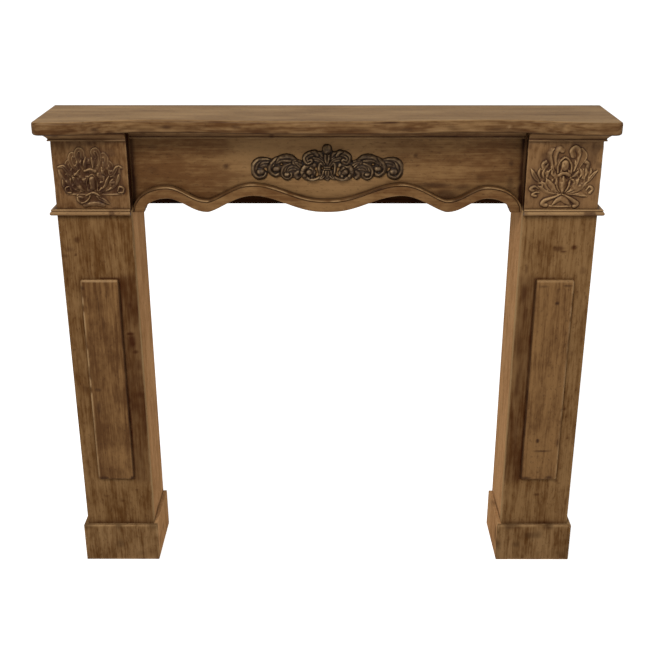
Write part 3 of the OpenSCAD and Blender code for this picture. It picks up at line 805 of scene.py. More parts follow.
def neckSection(h):
    look = neckMoulding
    r = (h - look["fillet"]) / 2
    filletZ = h - look["fillet"] + 1.4 * look["quirk"]
    proj, blunt, quirk = look["proj"], look["blunt"], look["quirk"]
    # The round's underside and the quirk get painted shade, the round's top and the fillet's top arris a
    # painted highlight
    section = [(0, 0, 1, 0), (3, 0, 1, 0)]
    for a in range(-90, 71, 20):
        t = math.radians(a)
        dark = 0.85 if a < -60 else 0.35 if a < -30 else 0.05
        section.append((proj - r + r * math.cos(t), r + r * math.sin(t), dark, 0.35 if a > 0 else 0))
    edge = proj - look["back"]
    section += [(edge - 2 * quirk, filletZ - quirk, 1, 0), (edge - 1.6 * quirk, filletZ - 0.3, 1, 0),
                (edge - blunt, filletZ, 0.4, 0.4), (edge - blunt, h - blunt, 0, 0.9),
                (edge - 2 * blunt, h, 0, 0.9), (edge - 4, h, 0.1, 0.6), (2, h, 0.75, 0.1), (0, h, 0.9, 0)]
    return section


def makeMoulding(name, section, stations, place):
    look = mouldings
    points, faces = sweptMesh(section, np.linspace(0, 1, stations + 1), place)
    rough = softNoise(points, look["roughSize"] * mm, 71 + len(name))
    # The neck mouldings are paler, and most of all the right one
    lift = (look["neckLift"] + look["rightLift"] * name.startswith("right")) * ("neck" in name)
    _, _, wax, wear = np.tile(section, (stations + 1, 1)).T
    cloud = softNoise(points * np.array((0.4, 1, 1)), look["toneSize"] * mm, 73 + len(name))
    paint = {
        "wax": wax * mix(*look["darkRange"], rough),
        "wear": wear * mix(*look["paleRange"], rough) + lift * (wax < 0.3),
        "tone": cloud + lift,
        "knot": smooth(0.78, 0.9, softNoise(points, look["knotSize"] * mm, 79)) * look["knot"],
    }
    return makePiece(name, points, faces, [name], "moulding_timber", paint, flat=True)


def makeMouldings():
    for side, way in (("left", -1), ("right", 1)):
        for kind in ("bed", "neck"):
            low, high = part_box(f"{side}_{kind}_moulding_front")
            height = (high.z - low.z) / mm
            section = bedSection(height) if kind == "bed" else neckSection(height)

            def alongFront(s, p, way=way, z=low.z):
                out = p[0] * mm
                return (way * mix(legInner, legOuter + out, s), legFrontY - out, z + p[1] * mm)

            def alongSide(s, p, way=way, z=low.z):
                out = p[0] * mm
                return (way * (legOuter + out), mix(wallY, legFrontY - out, s), z + p[1] * mm)

            makeMoulding(f"{side}_{kind}_moulding_front", section, mouldings["stations"], alongFront)
            makeMoulding(f"{side}_{kind}_moulding_return", section, mouldings["stations"], alongSide)
    low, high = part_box("frieze_bed_moulding")

    def alongFrieze(s, p):
        return (mix(low.x, high.x, s), friezeLow.y - p[0] * mm, low.z + p[1] * mm)

    section = bedSection((high.z - low.z) / mm)
    makeMoulding("frieze_bed_moulding", section, mouldings["friezeStations"], alongFrieze)


makeMouldings()
print("stage: mouldings")

# The first four are shares of the shelf's half length, the depths and radii are in mm, and each
# layer is its height, its thickness and its strength
shelf = {
    "midHalf": 0.10, "dipIn": 0.57, "dipOut": 0.62, "endIn": 0.93, "midDepth": 190.0, "dipDepth": 173.5,
    "corner": 18.0, "arris": 5.0, "rows": 26, "stations": 300, "flatStart": 0.8, "underShade": 0.85,
    "edgeWax": 0.75, "streakWax": 0.5, "paleWear": 0.22, "topLight": (0.42, 0.82),
    "layers": [(23.5, 1.6, 0.45), (15.0, 1.5, 0.3), (9.5, 1.4, 0.35), (4.0, 2.0, 0.4)],
    "chips": [(375, 14, 5, 4, 0.5)],
    "spots": [(-185, 15, 11, 4, 0.6), (-330, 12, 9, 5, 0.45), (165, 9, 16, 4, 0.6), (255, 14, 10, 3, 0.4),
              (350, 9, 10, 3, 0.45), (540, 10, 8, 4, 0.3)],
}


# How far the front edge lies from the wall at x from the middle, in mm
def shelfDepth(x):
    half, end = shelfHigh.x / mm, (shelfHigh.y - shelfLow.y) / mm
    x = np.abs(x) / half
    dip = mix(shelf["midDepth"], shelf["dipDepth"],
              ease((x - shelf["midHalf"]) / (shelf["dipIn"] - shelf["midHalf"])))
    out = mix(shelf["dipDepth"], end, ease((x - shelf["dipOut"]) / (shelf["endIn"] - shelf["dipOut"])))
    return np.where(x < shelf["dipIn"], dip, out)


def makeShelf():
    half, end = shelfHigh.x / mm, (shelfHigh.y - shelfLow.y) / mm
    corner, thick = shelf["corner"], (shelfHigh.z - shelfLow.z) / mm
    straight = half - corner
    turns = np.radians(np.arange(90, 0, -9))
    middle = np.linspace(-straight, straight, shelf["stations"] + 1)
    rows = shelf["rows"]

    # The front edge drawn in by inset, from the left side round to the right
    def frontEdge(inset):
        r = corner - inset
        left = np.stack([-(straight + r * np.sin(turns)), end - corner + r * np.cos(turns)], 1)
        centre = np.stack([middle, shelfDepth(middle) - inset], 1)
        return np.concatenate([left, centre, left[::-1] * (-1, 1)])

    def level(inset, z):
        edge = frontEdge(inset)
        t = np.linspace(0, 1, rows + 1)[:, None]
        left = np.stack([np.full(rows + 1, edge[0, 0]), t[:, 0] * edge[0, 1]], 1)
        loop = np.concatenate([left[:-1], edge, (left * (-1, 1))[-2::-1]])
        height = np.full(len(loop), z * mm) + shelfLow.z
        return np.stack([loop[:, 0] * mm, wallY - loop[:, 1] * mm, height], 1)

    arris = shelf["arris"]
    angles = np.radians([0, 22.5, 45, 67.5, 90])
    insets = [arris * (1 - math.sin(a)) for a in angles]
    rises = [arris * (1 - math.cos(a)) for a in angles]
    midLow, midHigh = arris + shelf["flatStart"], thick - arris - shelf["flatStart"]
    mids = [mix(midLow, midHigh, t) for t in (0, 0.2, 0.4, 0.6, 0.8, 1)]
    levels = [(s, z) for s, z in zip(insets, rises)] + [(0, z) for z in mids]
    levels += [(s, thick - z) for s, z in zip(insets[::-1], rises[::-1])]
    rings = [level(s, z) for s, z in levels]
    n = len(rings[0])
    points = list(np.concatenate(rings))
    faces = [(k * n + i, k * n + i + 1, (k + 1) * n + i + 1, (k + 1) * n + i)
             for k in range(len(rings) - 1) for i in range(n - 1)]
    backs = {}
    for which, ring, z in (("low", 0, 0.0), ("high", len(rings) - 1, thick)):
        edge = frontEdge(insets[0])
        m = len(edge)
        index = np.zeros((m, rows + 1), int)
        for i in range(m):
            for j in range(rows + 1):
                if i == 0:
                    index[i, j] = ring * n + j
                elif i == m - 1:
                    index[i, j] = ring * n + n - 1 - j
                elif j == rows:
                    index[i, j] = ring * n + rows + i
                else:
                    index[i, j] = len(points)
                    y = wallY - edge[i, 1] * j / rows * mm
                    points.append((edge[i, 0] * mm, y, shelfLow.z + z * mm))
        for i in range(m - 1):
            for j in range(rows):
                faces.append((index[i, j], index[i + 1, j], index[i + 1, j + 1], index[i, j + 1]))
        backs[which] = list(index[:, 0])
    up = [k * n + n - 1 for k in range(1, len(rings) - 1)]
    down = [k * n for k in range(len(rings) - 2, 0, -1)]
    faces.append(tuple(backs["low"] + up + backs["high"][::-1] + down))
    points = np.array(points)
    x, z = points[:, 0], points[:, 2] - shelfLow.z

    # Noise drawn out along the shelf
    def alongShelf(stretch, size, seed):
        return softNoise(points * np.array((stretch, 1, 1)), size * mm, seed)

    long = alongShelf(0.12, 7, 83)
    ragged = alongShelf(0.09, 3.6, 85)
    grown = alongShelf(0.08, 11, 89)
    # The top face gets painted light, and the underside and the foot of the edge painted shade
    top = smooth(thick * mm - 1.2 * mm, thick * mm, z)
    under = smooth(4 * mm, 0.5 * mm, z) * shelf["underShade"]
    edgeWax = smooth(0.72, 0.95, long) * (1 - top) * shelf["edgeWax"]
    # Thin lines along the edge, where the board's layers show
    zmm = z / mm
    layers = sum(h * np.exp(-(((zmm - c) / w) ** 2)) for c, w, h in shelf["layers"])
    # The lower half is stained in ragged streaks, except at the two ends
    ends = smooth(half - 20, half - 70, np.abs(x) / mm)
    streaks = smooth(15, 9, zmm) * smooth(0.3, 0.7, ragged) * ends * shelf["streakWax"]
    lines = np.maximum(layers * mix(0.3, 1.0, long), streaks)
    pale = smooth(0.5, 0.85, 1 - ragged) * (1 - top) * shelf["paleWear"] + paintSpots(x, z, shelf["chips"])
    paint = {
        "wax": np.maximum(under, edgeWax + lines * (1 - top)),
        "wear": np.maximum(top * mix(*shelf["topLight"], grown), pale),
        "tone": mix(long * 0.8, alongShelf(0.15, 25, 87), top),
        "knot": paintSpots(x, z, shelf["spots"]) * (1 - top),
    }
    return makePiece("mantel_shelf", points, faces, ["mantel_shelf"], "shelf_timber", paint)


makeShelf()
print("stage: shelf")

# How a stroke is cut: thinnest and moatWidth in mm, the rest as shares. The moat is the cut around a
# stroke, and leftUnder is how much of the older strokes still shows under a new one
chisel = {"steps": 40, "thinnest": 0.3, "moat": 0.75, "moatWidth": 0.9, "leftUnder": 0.12,
          "endHeight": 0.7}


# A smooth line through points, as places and directions
def curveThrough(stops, count):
    stops = np.asarray(stops, float)
    padded = np.concatenate([[2 * stops[0] - stops[1]], stops, [2 * stops[-1] - stops[-2]]])
    t = np.linspace(0, len(stops) - 1 - 1e-9, count)
    k = t.astype(int)
    f = (t - k)[:, None]
    a, b, c, d = padded[k], padded[k + 1], padded[k + 2], padded[k + 3]
    bend, twist = 2 * a - 5 * b + 4 * c - d, 3 * b - a - 3 * c + d
    place = 0.5 * (2 * b + (c - a) * f + bend * f**2 + twist * f**3)
    along = np.gradient(place, axis=0)
    return place, along / np.maximum(np.linalg.norm(along, axis=1, keepdims=True), 1e-9)


# Widths along a stroke, from 0 to 1, by the shape that it has
def swell(shape, t):
    if shape == "leaf":
        return np.sin(np.pi * np.clip(t, 0.02, 0.985) ** 0.8) ** 0.7
    if shape == "petal":
        return np.sin(np.pi * np.clip(t, 0.03, 0.97) ** 1.3) ** 0.6
    if shape == "plume":
        return mix(0.45, 1.0, smooth(0, 0.6, t))
    return np.ones_like(t)


# Height across a stroke, from its middle at 0 to its edge at 1
def crossSection(cut, u):
    side = np.sqrt(np.clip(1 - u**2, 0, 1))
    if cut == "round":
        return side
    if cut == "vein":
        return side * (1 - 0.55 * np.exp(-((u / 0.2) ** 2)))
    if cut == "keel":
        return (1 - np.abs(u) ** 1.3).clip(0) ** 0.8
    if cut == "slope":
        return side * (0.62 + 0.38 * u)
    return side**0.4 * (0.25 + 0.75 * np.abs(u) ** 3.5)


# Cuts one stroke into a height field; all lengths in mm
def cutStroke(field, gx, gz, stroke, fat):
    stops, shape, cut, width, height = stroke
    width = width * fat
    place, along = curveThrough(stops, chisel["steps"])
    reach = width * 0.9 + 1
    low, high = place.min(0) - reach, place.max(0) + reach
    inside = (gx > low[0]) & (gx < high[0]) & (gz > low[1]) & (gz < high[1])
    p = np.stack([gx[inside], gz[inside]], 1)
    if not len(p):
        return
    gap = ((p[:, None, :] - place[None]) ** 2).sum(2)
    near = gap.argmin(1)
    away = p - place[near]
    share = swell(shape, near / (chisel["steps"] - 1))
    half = np.maximum(width / 2 * share, chisel["thinnest"])
    across = away[:, 0] * along[near, 1] - away[:, 1] * along[near, 0]
    ahead = np.abs((away * along[near]).sum(1))
    u = np.sqrt(across**2 + ahead**2) / half
    signed = np.sign(across) * np.minimum(u, 1)
    old = field[inside]
    body = height * crossSection(cut, signed) * mix(chisel["endHeight"], 1.0, smooth(0, 0.5, share))
    moat = np.exp(-(((u - 1.0) * half / chisel["moatWidth"]) ** 2)) * chisel["moat"]
    cutIn = np.maximum(body + old * chisel["leftUnder"], 0)
    field[inside] = np.where(u < 1, cutIn, old * (1 - moat))


# The strokes and their mirror images, each pair together
def bothWays(strokes):
    flipped = [([(-x, z) for x, z in s[0]],) + tuple(s[1:]) for s in strokes]
    return [s for pair in zip(strokes, flipped) for s in pair]


# Each stroke is its stops, in mm from the carving's centre, its shape, cut, width and height
leftCarving = [
    # plumes that hook over at the top, then the second and third ones
    ([(36, 2), (44, 14), (45, 25), (40, 31)], "plume", "hollow", 8, 4.6),
    ([(-36, 4), (-44, 16), (-48, 27), (-44, 33)], "plume", "hollow", 8, 4.6),
    ([(24, 8), (33, 24), (36, 38), (31, 47), (26, 44)], "plume", "hollow", 9, 5.2),
    ([(-24, 8), (-35, 22), (-40, 38), (-36, 48), (-30, 46)], "plume", "hollow", 9, 5.2),
    ([(13, 12), (20, 30), (22, 46), (16, 58), (8, 54), (12, 42)], "plume", "hollow", 8, 6.2),
    ([(-13, 12), (-22, 30), (-27, 47), (-22, 58), (-14, 55), (-13, 43)], "plume", "hollow", 8, 6.2),
    # crumpled side leaves
    ([(36, 0), (48, 6), (58, 20), (70, 19)], "leaf", "vein", 11, 5.0),
    ([(40, -8), (54, -2), (60, 10), (62, 22)], "leaf", "slope", 9, 4.6),
    ([(-36, 0), (-46, 10), (-56, 22), (-69, 21)], "leaf", "vein", 10, 5.0),
    ([(-42, -14), (-56, -8), (-64, 4), (-66, 16)], "leaf", "slope", 9, 4.6),
    ([(-50, -30), (-58, -18), (-60, -4)], "leaf", "round", 7, 4.0),
    # long petals on each side of the boss
    ([(26, -32), (46, -20), (56, -4), (60, 6)], "petal", "slope", 11, 5.6),
    ([(-26, -32), (-44, -22), (-54, -8)], "petal", "slope", 10, 5.0),
    ([(14, -31), (28, -18), (39, 2)], "petal", "round", 9, 5.8),
    ([(-13, -31), (-27, -18), (-38, 3)], "petal", "round", 11, 6.6),
    ([(4, -31), (-6, -20), (-13, -6)], "petal", "keel", 7, 5.0),
    ([(10, 6), (18, 2), (24, -8), (23, -20)], "petal", "hollow", 8, 4.6),
    # bud over the collar, with two ridges
    ([(-8, 16), (-10, 28), (-7, 42)], "petal", "round", 8, 5.6),
    ([(6, 16), (8, 28), (5, 42)], "petal", "round", 8, 5.6),
    ([(-22, 16), (-28, 8), (-36, 2)], "leaf", "round", 6, 4.6),
    ([(24, 16), (28, 8), (34, 2)], "leaf", "round", 6, 4.6),
    ([(-10, 13), (0, 16), (11, 12)], "band", "round", 7, 6.0),
    # hood and boss
    ([(-7, -30), (-8, -8), (3, 5), (13, -8), (13, -30)], "band", "round", 3.2, 5.0),
    ([(3, -22), (3, -4)], "band", "round", 12.5, 8.0),
    # base line, ring curls and ribbons
    ([(-52, -37), (-20, -38), (30, -38), (64, -37)], "band", "round", 3, 2.8),
    ([(-42, -30), (-46, -21), (-54, -24), (-52, -33), (-44, -34)], "band", "round", 4.5, 4.6),
    ([(56, -30), (60, -21), (68, -25), (66, -33), (58, -34)], "band", "round", 4.5, 4.6),
    ([(-2, -34), (-8, -48), (-21, -57), (-30, -50), (-30, -40)], "plume", "round", 6, 5.2),
    ([(8, -34), (16, -46), (26, -52), (36, -60)], "leaf", "vein", 10, 5.0),
    ([(-16, -42), (2, -34), (20, -42)], "petal", "round", 6, 5.6),
    ([(-17, -61), (3, -58), (22, -61)], "band", "round", 9, 3.0),
    ([(-30, -42), (-18, -46)], "leaf", "round", 7, 3.6),
]

rightCarving = [
    ([(38, 4), (46, 16), (49, 28), (43, 33)], "plume", "round", 8, 4.6),
    ([(-36, 4), (-43, 16), (-45, 28), (-39, 33)], "plume", "round", 8, 4.6),
    ([(27, 16), (35, 34), (39, 46), (32, 55)], "plume", "hollow", 13, 5.8),
    ([(-23, 14), (-29, 32), (-34, 47), (-28, 57)], "plume", "slope", 12, 5.8),
    ([(20, 14), (26, 34), (28, 52), (21, 62), (14, 56), (17, 46)], "plume", "slope", 12, 6.6),
    ([(-14, 12), (-20, 32), (-21, 50), (-14, 61), (-7, 57)], "plume", "slope", 11, 6.4),
    # finger leaves at the sides
    ([(-33, -2), (-34, 8), (-29, 17)], "petal", "round", 6, 4.6),
    ([(-41, -4), (-44, 8), (-41, 20)], "petal", "round", 6, 4.6),
    ([(-48, -5), (-53, 6), (-51, 19)], "petal", "round", 6, 4.6),
    ([(-52, -10), (-62, 4), (-70, 18)], "leaf", "vein", 9, 5.0),
    ([(33, -2), (37, 8), (34, 18)], "petal", "round", 7, 4.6),
    ([(42, -4), (47, 8), (45, 20)], "petal", "round", 7, 4.6),
    ([(50, -8), (56, 6), (56, 18)], "petal", "round", 6, 4.6),
    ([(52, -10), (60, 4), (71, 15)], "leaf", "vein", 8, 5.0),
    # fan of leaves
    ([(8, -36), (28, -34), (52, -41)], "petal", "slope", 11, 5.4),
    ([(-8, -36), (-28, -31), (-52, -20)], "petal", "slope", 12, 5.6),
    ([(8, -35), (30, -26), (50, -10)], "petal", "slope", 12, 5.2),
    ([(-8, -35), (-30, -24), (-46, -10)], "petal", "slope", 10, 5.0),
    ([(6, -34), (20, -22), (32, -4)], "petal", "slope", 13, 6.4),
    ([(-7, -34), (-22, -22), (-36, -4)], "petal", "slope", 13, 6.8),
    ([(2, -34), (10, -22), (14, -8)], "petal", "keel", 9, 6.0),
    ([(-4, -34), (-10, -22), (-12, -8)], "petal", "keel", 9, 6.0),
    ([(-1, -35), (-1, 2)], "petal", "keel", 20, 7.8),
    # small leaves beside the collar
    ([(-16, 0), (-24, 6), (-26, 16)], "petal", "round", 6, 4.6),
    ([(16, 0), (24, 4), (30, 14)], "petal", "round", 8, 5.0),
    ([(14, -4), (20, -6), (26, -14)], "petal", "round", 5, 4.0),
    ([(-10, 5), (0, 9), (11, 5)], "band", "round", 9, 6.0),
    # hood and boss
    ([(-13, 10), (-13, 28), (0, 42), (14, 28), (15, 10)], "band", "round", 4.4, 5.4),
    ([(1, 21), (1, 29)], "band", "round", 15.5, 8.0),
    # curls and ribbons below
    ([(-52, -24), (-60, -20), (-68, -25), (-62, -30)], "plume", "round", 7, 4.4),
    ([(-50, -33), (-58, -33), (-63, -38), (-56, -41)], "plume", "round", 6, 4.0),
    ([(50, -28), (56, -20), (63, -26), (58, -34)], "plume", "round", 6, 4.4),
    ([(-4, -37), (-20, -44), (-36, -50), (-41, -58), (-33, -61)], "plume", "round", 9, 5.2),
    ([(0, -37), (14, -44), (26, -52), (33, -58), (28, -63)], "plume", "round", 9, 5.2),
    ([(-22, -62), (-2, -46), (18, -60)], "petal", "round", 13, 3.6),
    ([(-25, -63), (0, -64), (20, -63)], "band", "round", 4, 2.4),
]

block = {
    "cell": 0.6, "fat": 1.08, "arris": 1.2, "tool": 0.35, "toolSize": 5, "crumple": 3.6, "crumpleSize": 4.2,
    "crumpleReach": (60, 42), "unevenSize": 6, "uneven": (0.72, 1.12), "waver": 0.9, "waverSize": 14,
    "centreUp": 69, "ringBack": 0.8, "roughSize": 9, "toneSize": 32, "knotSize": 20, "knot": 0.5,
    "narrowHollow": 0.55, "broadHollow": 2.2, "broadShare": 0.8, "ridge": 0.32, "slopeShade": 0.75,
    "shadeUnderMoulding": 11, "topRange": (0.15, 0.6), "footShade": (10, 5), "footShare": 0.6, "border": 3.5,
    "leftStain": 0.98, "rightStain": 0.3, "stainRange": (0.6, 1.3), "wear": 1.1, "leftTone": -0.18,
    "rightTone": 0.25,
}


# A grid over the front of a box, in mm from its low corner, with each point's distance from the edge
def frontGrid(low, high, cell):
    wide, tall = (high.x - low.x) / mm, (high.z - low.z) / mm
    nx, nz = int(wide / cell), int(tall / cell)
    gx, gz = np.meshgrid(np.linspace(0, wide, nx + 1), np.linspace(0, tall, nz + 1), indexing="ij")
    spots = np.stack([gx.ravel(), gz.ravel(), np.zeros(gx.size)], 1)
    edge = np.minimum(np.minimum(gx, wide - gx), np.minimum(gz, tall - gz))
    return gx, gz, spots, edge


# The carving as a height field, with small crumpled cuts that fill the ground between the leaves
def carvedField(strokes, cx, cz, spots, seed, depth):
    field = np.zeros_like(cx)
    for stroke in strokes:
        cutStroke(field, cx, cz, stroke, block["fat"])
    ground = softNoise(spots * np.array((1, 0.7, 1)), block["crumpleSize"], seed + 7)
    reachX, reachZ = block["crumpleReach"]
    within = smooth(1.0, 0.85, np.sqrt((cx / reachX) ** 2 + (cz / reachZ) ** 2))
    crumple = smooth(0.42, 0.75, ground).reshape(cx.shape)
    field = blurred(np.maximum(field, crumple * within * block["crumple"]), 1)
    field = field * mix(*block["uneven"], softNoise(spots, block["unevenSize"], seed)).reshape(cx.shape)
    return np.minimum(field * (depth - 0.3) / field.max(), depth - 0.1)


# A board whose front is a height field, closed by its sides and back
def makeBlock(side, strokes, seed):
    name = side + "_carved_block"
    low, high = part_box(name)
    depth = (legFrontY - low.y) / mm
    gx, gz, spots, edge = frontGrid(low, high, block["cell"])
    wide = gx.max()
    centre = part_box(side + "_neck_moulding_front")[1].z + block["centreUp"] * mm
    field = carvedField(strokes, gx - wide / 2, gz - (centre - low.z) / mm, spots, seed, depth)

    def noise(size, step, stretch=(1, 1, 1)):
        return softNoise(spots * np.array(stretch), size, seed + step).reshape(gx.shape)

    tool = (noise(block["toolSize"], 1) - 0.5) * block["tool"]
    # Dark wax and painted shade lie in narrow and in broad hollows and on slopes turned from the light; only
    # sharp ridges get a painted highlight, strongest where turned to the light
    riseX, riseZ = np.gradient(blurred(field, 1), block["cell"])
    lit = np.clip(0.8 * riseX - 1.1 * riseZ, 0, 1)
    shaded = np.clip(0.9 * riseZ - 0.6 * riseX, 0, 1)
    near, far = blurred(field, 3), blurred(field, 9)
    lowSpot = np.clip((near - field) / block["narrowHollow"], 0, 1)
    broad = np.clip((far - field) / block["broadHollow"], 0, 1) * block["broadShare"]
    lowSpot = np.maximum(lowSpot, broad)
    highSpot = np.clip((field - near) / block["ridge"], 0, 1)
    arris = block["arris"]
    drop = arris - np.sqrt(np.clip(arris**2 - np.clip(arris - edge, 0, arris) ** 2, 0, None))
    out = np.clip(field + tool, -0.4, depth) - drop
    rough = noise(block["roughSize"], 2)
    # The board's sides waver a little
    waver = noise(block["waverSize"], 3, (0, 1, 0)) * block["waver"]
    sideIn = waver * (smooth(14, 0, gx) - smooth(14, 0, wide - gx))
    front = np.stack([low.x + (gx + sideIn) * mm, legFrontY - out * mm, low.z + gz * mm], -1).reshape(-1, 3)
    rim = gridRim(*gx.shape)
    ring, back = front[rim].copy(), front[rim].copy()
    ring[:, 1] += block["ringBack"] * mm
    back[:, 1] = high.y
    points = np.concatenate([front, ring, back])
    n, a = len(rim), len(front)
    ringAt, backAt = a + np.arange(n), a + n + np.arange(n)
    faces = [tuple(f) for f in gridFaces(*gx.shape)]
    faces += ringFaces(rim, ringAt) + ringFaces(ringAt, backAt)
    faces.append(tuple(backAt))
    bedLow = (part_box(side + "_bed_moulding_front")[0].z - low.z) / mm
    # Painted shade under the bed moulding, and at the foot over the neck moulding
    top = smooth(block["shadeUnderMoulding"], 0, bedLow - gz) * mix(*block["topRange"], rough)
    foot = smooth(*block["footShade"], gz) * block["footShare"]
    border = smooth(block["border"], 0.5, edge) * mix(0.1, 0.5, rough)
    around = smooth(0, 2.0, blurred(field, 12)) * block[side + "Stain"] * mix(*block["stainRange"], rough)
    deep = np.maximum(lowSpot * mix(0.75, 1.0, rough), shaded * block["slopeShade"])
    wax = np.maximum.reduce([deep, top, foot, around * (1 - 0.8 * highSpot * lit)])
    wear = np.maximum(highSpot * (0.3 + 0.85 * lit) * block["wear"], border * 0.6)
    # The side that faces the frieze gets dark wax and painted shade, for the dark corner
    inner = np.where(points[a:, 0] * (1 if side == "left" else -1) > -legInner - 2 * mm, 1.0, 0.1)
    rest = np.zeros(2 * n)
    cloud = softNoise(spots, block["toneSize"], seed + 4)
    knots = smooth(0.66, 0.9, softNoise(spots, block["knotSize"], seed + 5)) * block["knot"]
    paint = {
        "wax": np.concatenate([wax.ravel(), inner]),
        "wear": np.concatenate([wear.ravel(), rest]),
        "tone": np.concatenate([cloud, rest + 0.5]) + block[side + "Tone"],
        "knot": np.concatenate([knots, rest]),
    }
    return makePiece(name, points, faces, [name], "carved_timber", paint)


makeBlock("left", leftCarving, 91)
makeBlock("right", rightCarving, 95)
print("stage: carved blocks")

# One side of the ornament; heights are above its lowest point
ornamentSide = [
    # outer scrolls, from the ends inwards
    ([(108, 34), (124, 43), (142, 43), (152, 34), (153, 21), (146, 12), (137, 14)],
     "plume", "vein", 13, 8.5),
    ([(100, 30), (118, 36), (136, 36), (144, 28)], "leaf", "vein", 11, 6.5),
    ([(140, 20), (143, 20)], "band", "round", 11, 8.0),
    ([(78, 42), (96, 48), (112, 40), (118, 26), (110, 17), (102, 22)], "plume", "vein", 13, 10),
    ([(62, 40), (80, 47), (98, 46), (110, 36)], "leaf", "vein", 14, 8.0),
    ([(106, 26), (109, 26)], "band", "round", 10, 9.0),
    ([(60, 32), (74, 36), (88, 30), (93, 18), (86, 9), (79, 13)], "plume", "vein", 11, 8.5),
    ([(56, 22), (68, 28), (80, 26), (86, 17)], "leaf", "vein", 10, 7.0),
    ([(84, 14), (87, 14)], "band", "round", 8, 8.5),
    ([(52, 18), (60, 20), (67, 15), (63, 8)], "plume", "round", 8, 7.5),
    ([(62, 34), (70, 40), (66, 46)], "leaf", "round", 8, 7.0),
    ([(54, 30), (60, 38), (56, 44)], "leaf", "vein", 9, 7.5),
    ([(48, 22), (58, 34), (70, 42)], "leaf", "vein", 8, 8.0),
    # inner scroll with a flower in it
    ([(4, 34), (14, 44), (28, 47), (40, 40), (46, 28)], "leaf", "vein", 9, 8.5),
    ([(16, 8), (30, 3), (45, 8), (52, 20), (46, 31), (36, 32)], "plume", "round", 9, 10),
    ([(46, 8), (50, 16)], "leaf", "round", 8, 8.5),
    ([(26, 12), (30, 22)], "petal", "round", 8, 6.0),
    ([(33, 24), (35, 26)], "band", "round", 8, 8.0),
    ([(24, 30), (30, 38)], "petal", "round", 8, 7.5),
    ([(36, 34), (40, 40)], "petal", "round", 8, 7.5),
    ([(37, 17), (39, 19)], "band", "round", 10, 9.0),
    ([(30, 8), (34, 12)], "petal", "round", 8, 7.0),
    # upper leaf scroll along the shoulder
    ([(2, 42), (12, 52), (24, 58), (36, 57), (45, 50), (42, 41), (35, 43)], "plume", "vein", 10, 9.5),
    ([(18, 52), (26, 61), (34, 62)], "leaf", "round", 7, 7.5),
    ([(8, 50), (13, 58), (20, 61)], "leaf", "round", 6, 7.0),
    # inner curve beside the tie
    ([(6, 30), (14, 38), (17, 30), (15, 16), (10, 8)], "leaf", "round", 5, 8.0),
    ([(5, 26), (8, 12), (17, 3)], "leaf", "vein", 8, 8.5),
]

ornamentMiddle = [
    ([(0, 0), (0, 10)], "petal", "round", 9, 6.5),
    ([(0, 6), (0, 26)], "petal", "vein", 9, 9.0),
    ([(0, 34), (0, 64)], "petal", "vein", 12, 10.5),
    ([(-6, 26), (6, 26)], "band", "round", 2.8, 9.5),
    ([(-6, 30), (6, 30)], "band", "round", 2.8, 10),
    ([(0, 67), (0, 68)], "band", "round", 14, 12),
]

ornament = {
    "cell": 0.65, "fat": 1.38, "web": 3.4, "fullHeight": 79, "halfWidth": 162, "sink": 0.5, "edge": 0.35,
    "seed": 97, "rimFade": 1.2, "hollow": 1.6, "hollowWaxAndShade": 0.95, "lowWaxAndShade": 0.9, "ridge": 1.3, "highlightPatchSize": 7,
    "highlightRange": (0.5, 1.6),
}


# Edges that only one face has, in the direction that the face runs
def openEdges(quads):
    edges = {}
    for q in quads:
        for k in range(4):
            a, b = int(q[k]), int(q[(k + 1) % 4])
            if (b, a) in edges:
                del edges[(b, a)]
            else:
                edges[(a, b)] = True
    return list(edges)


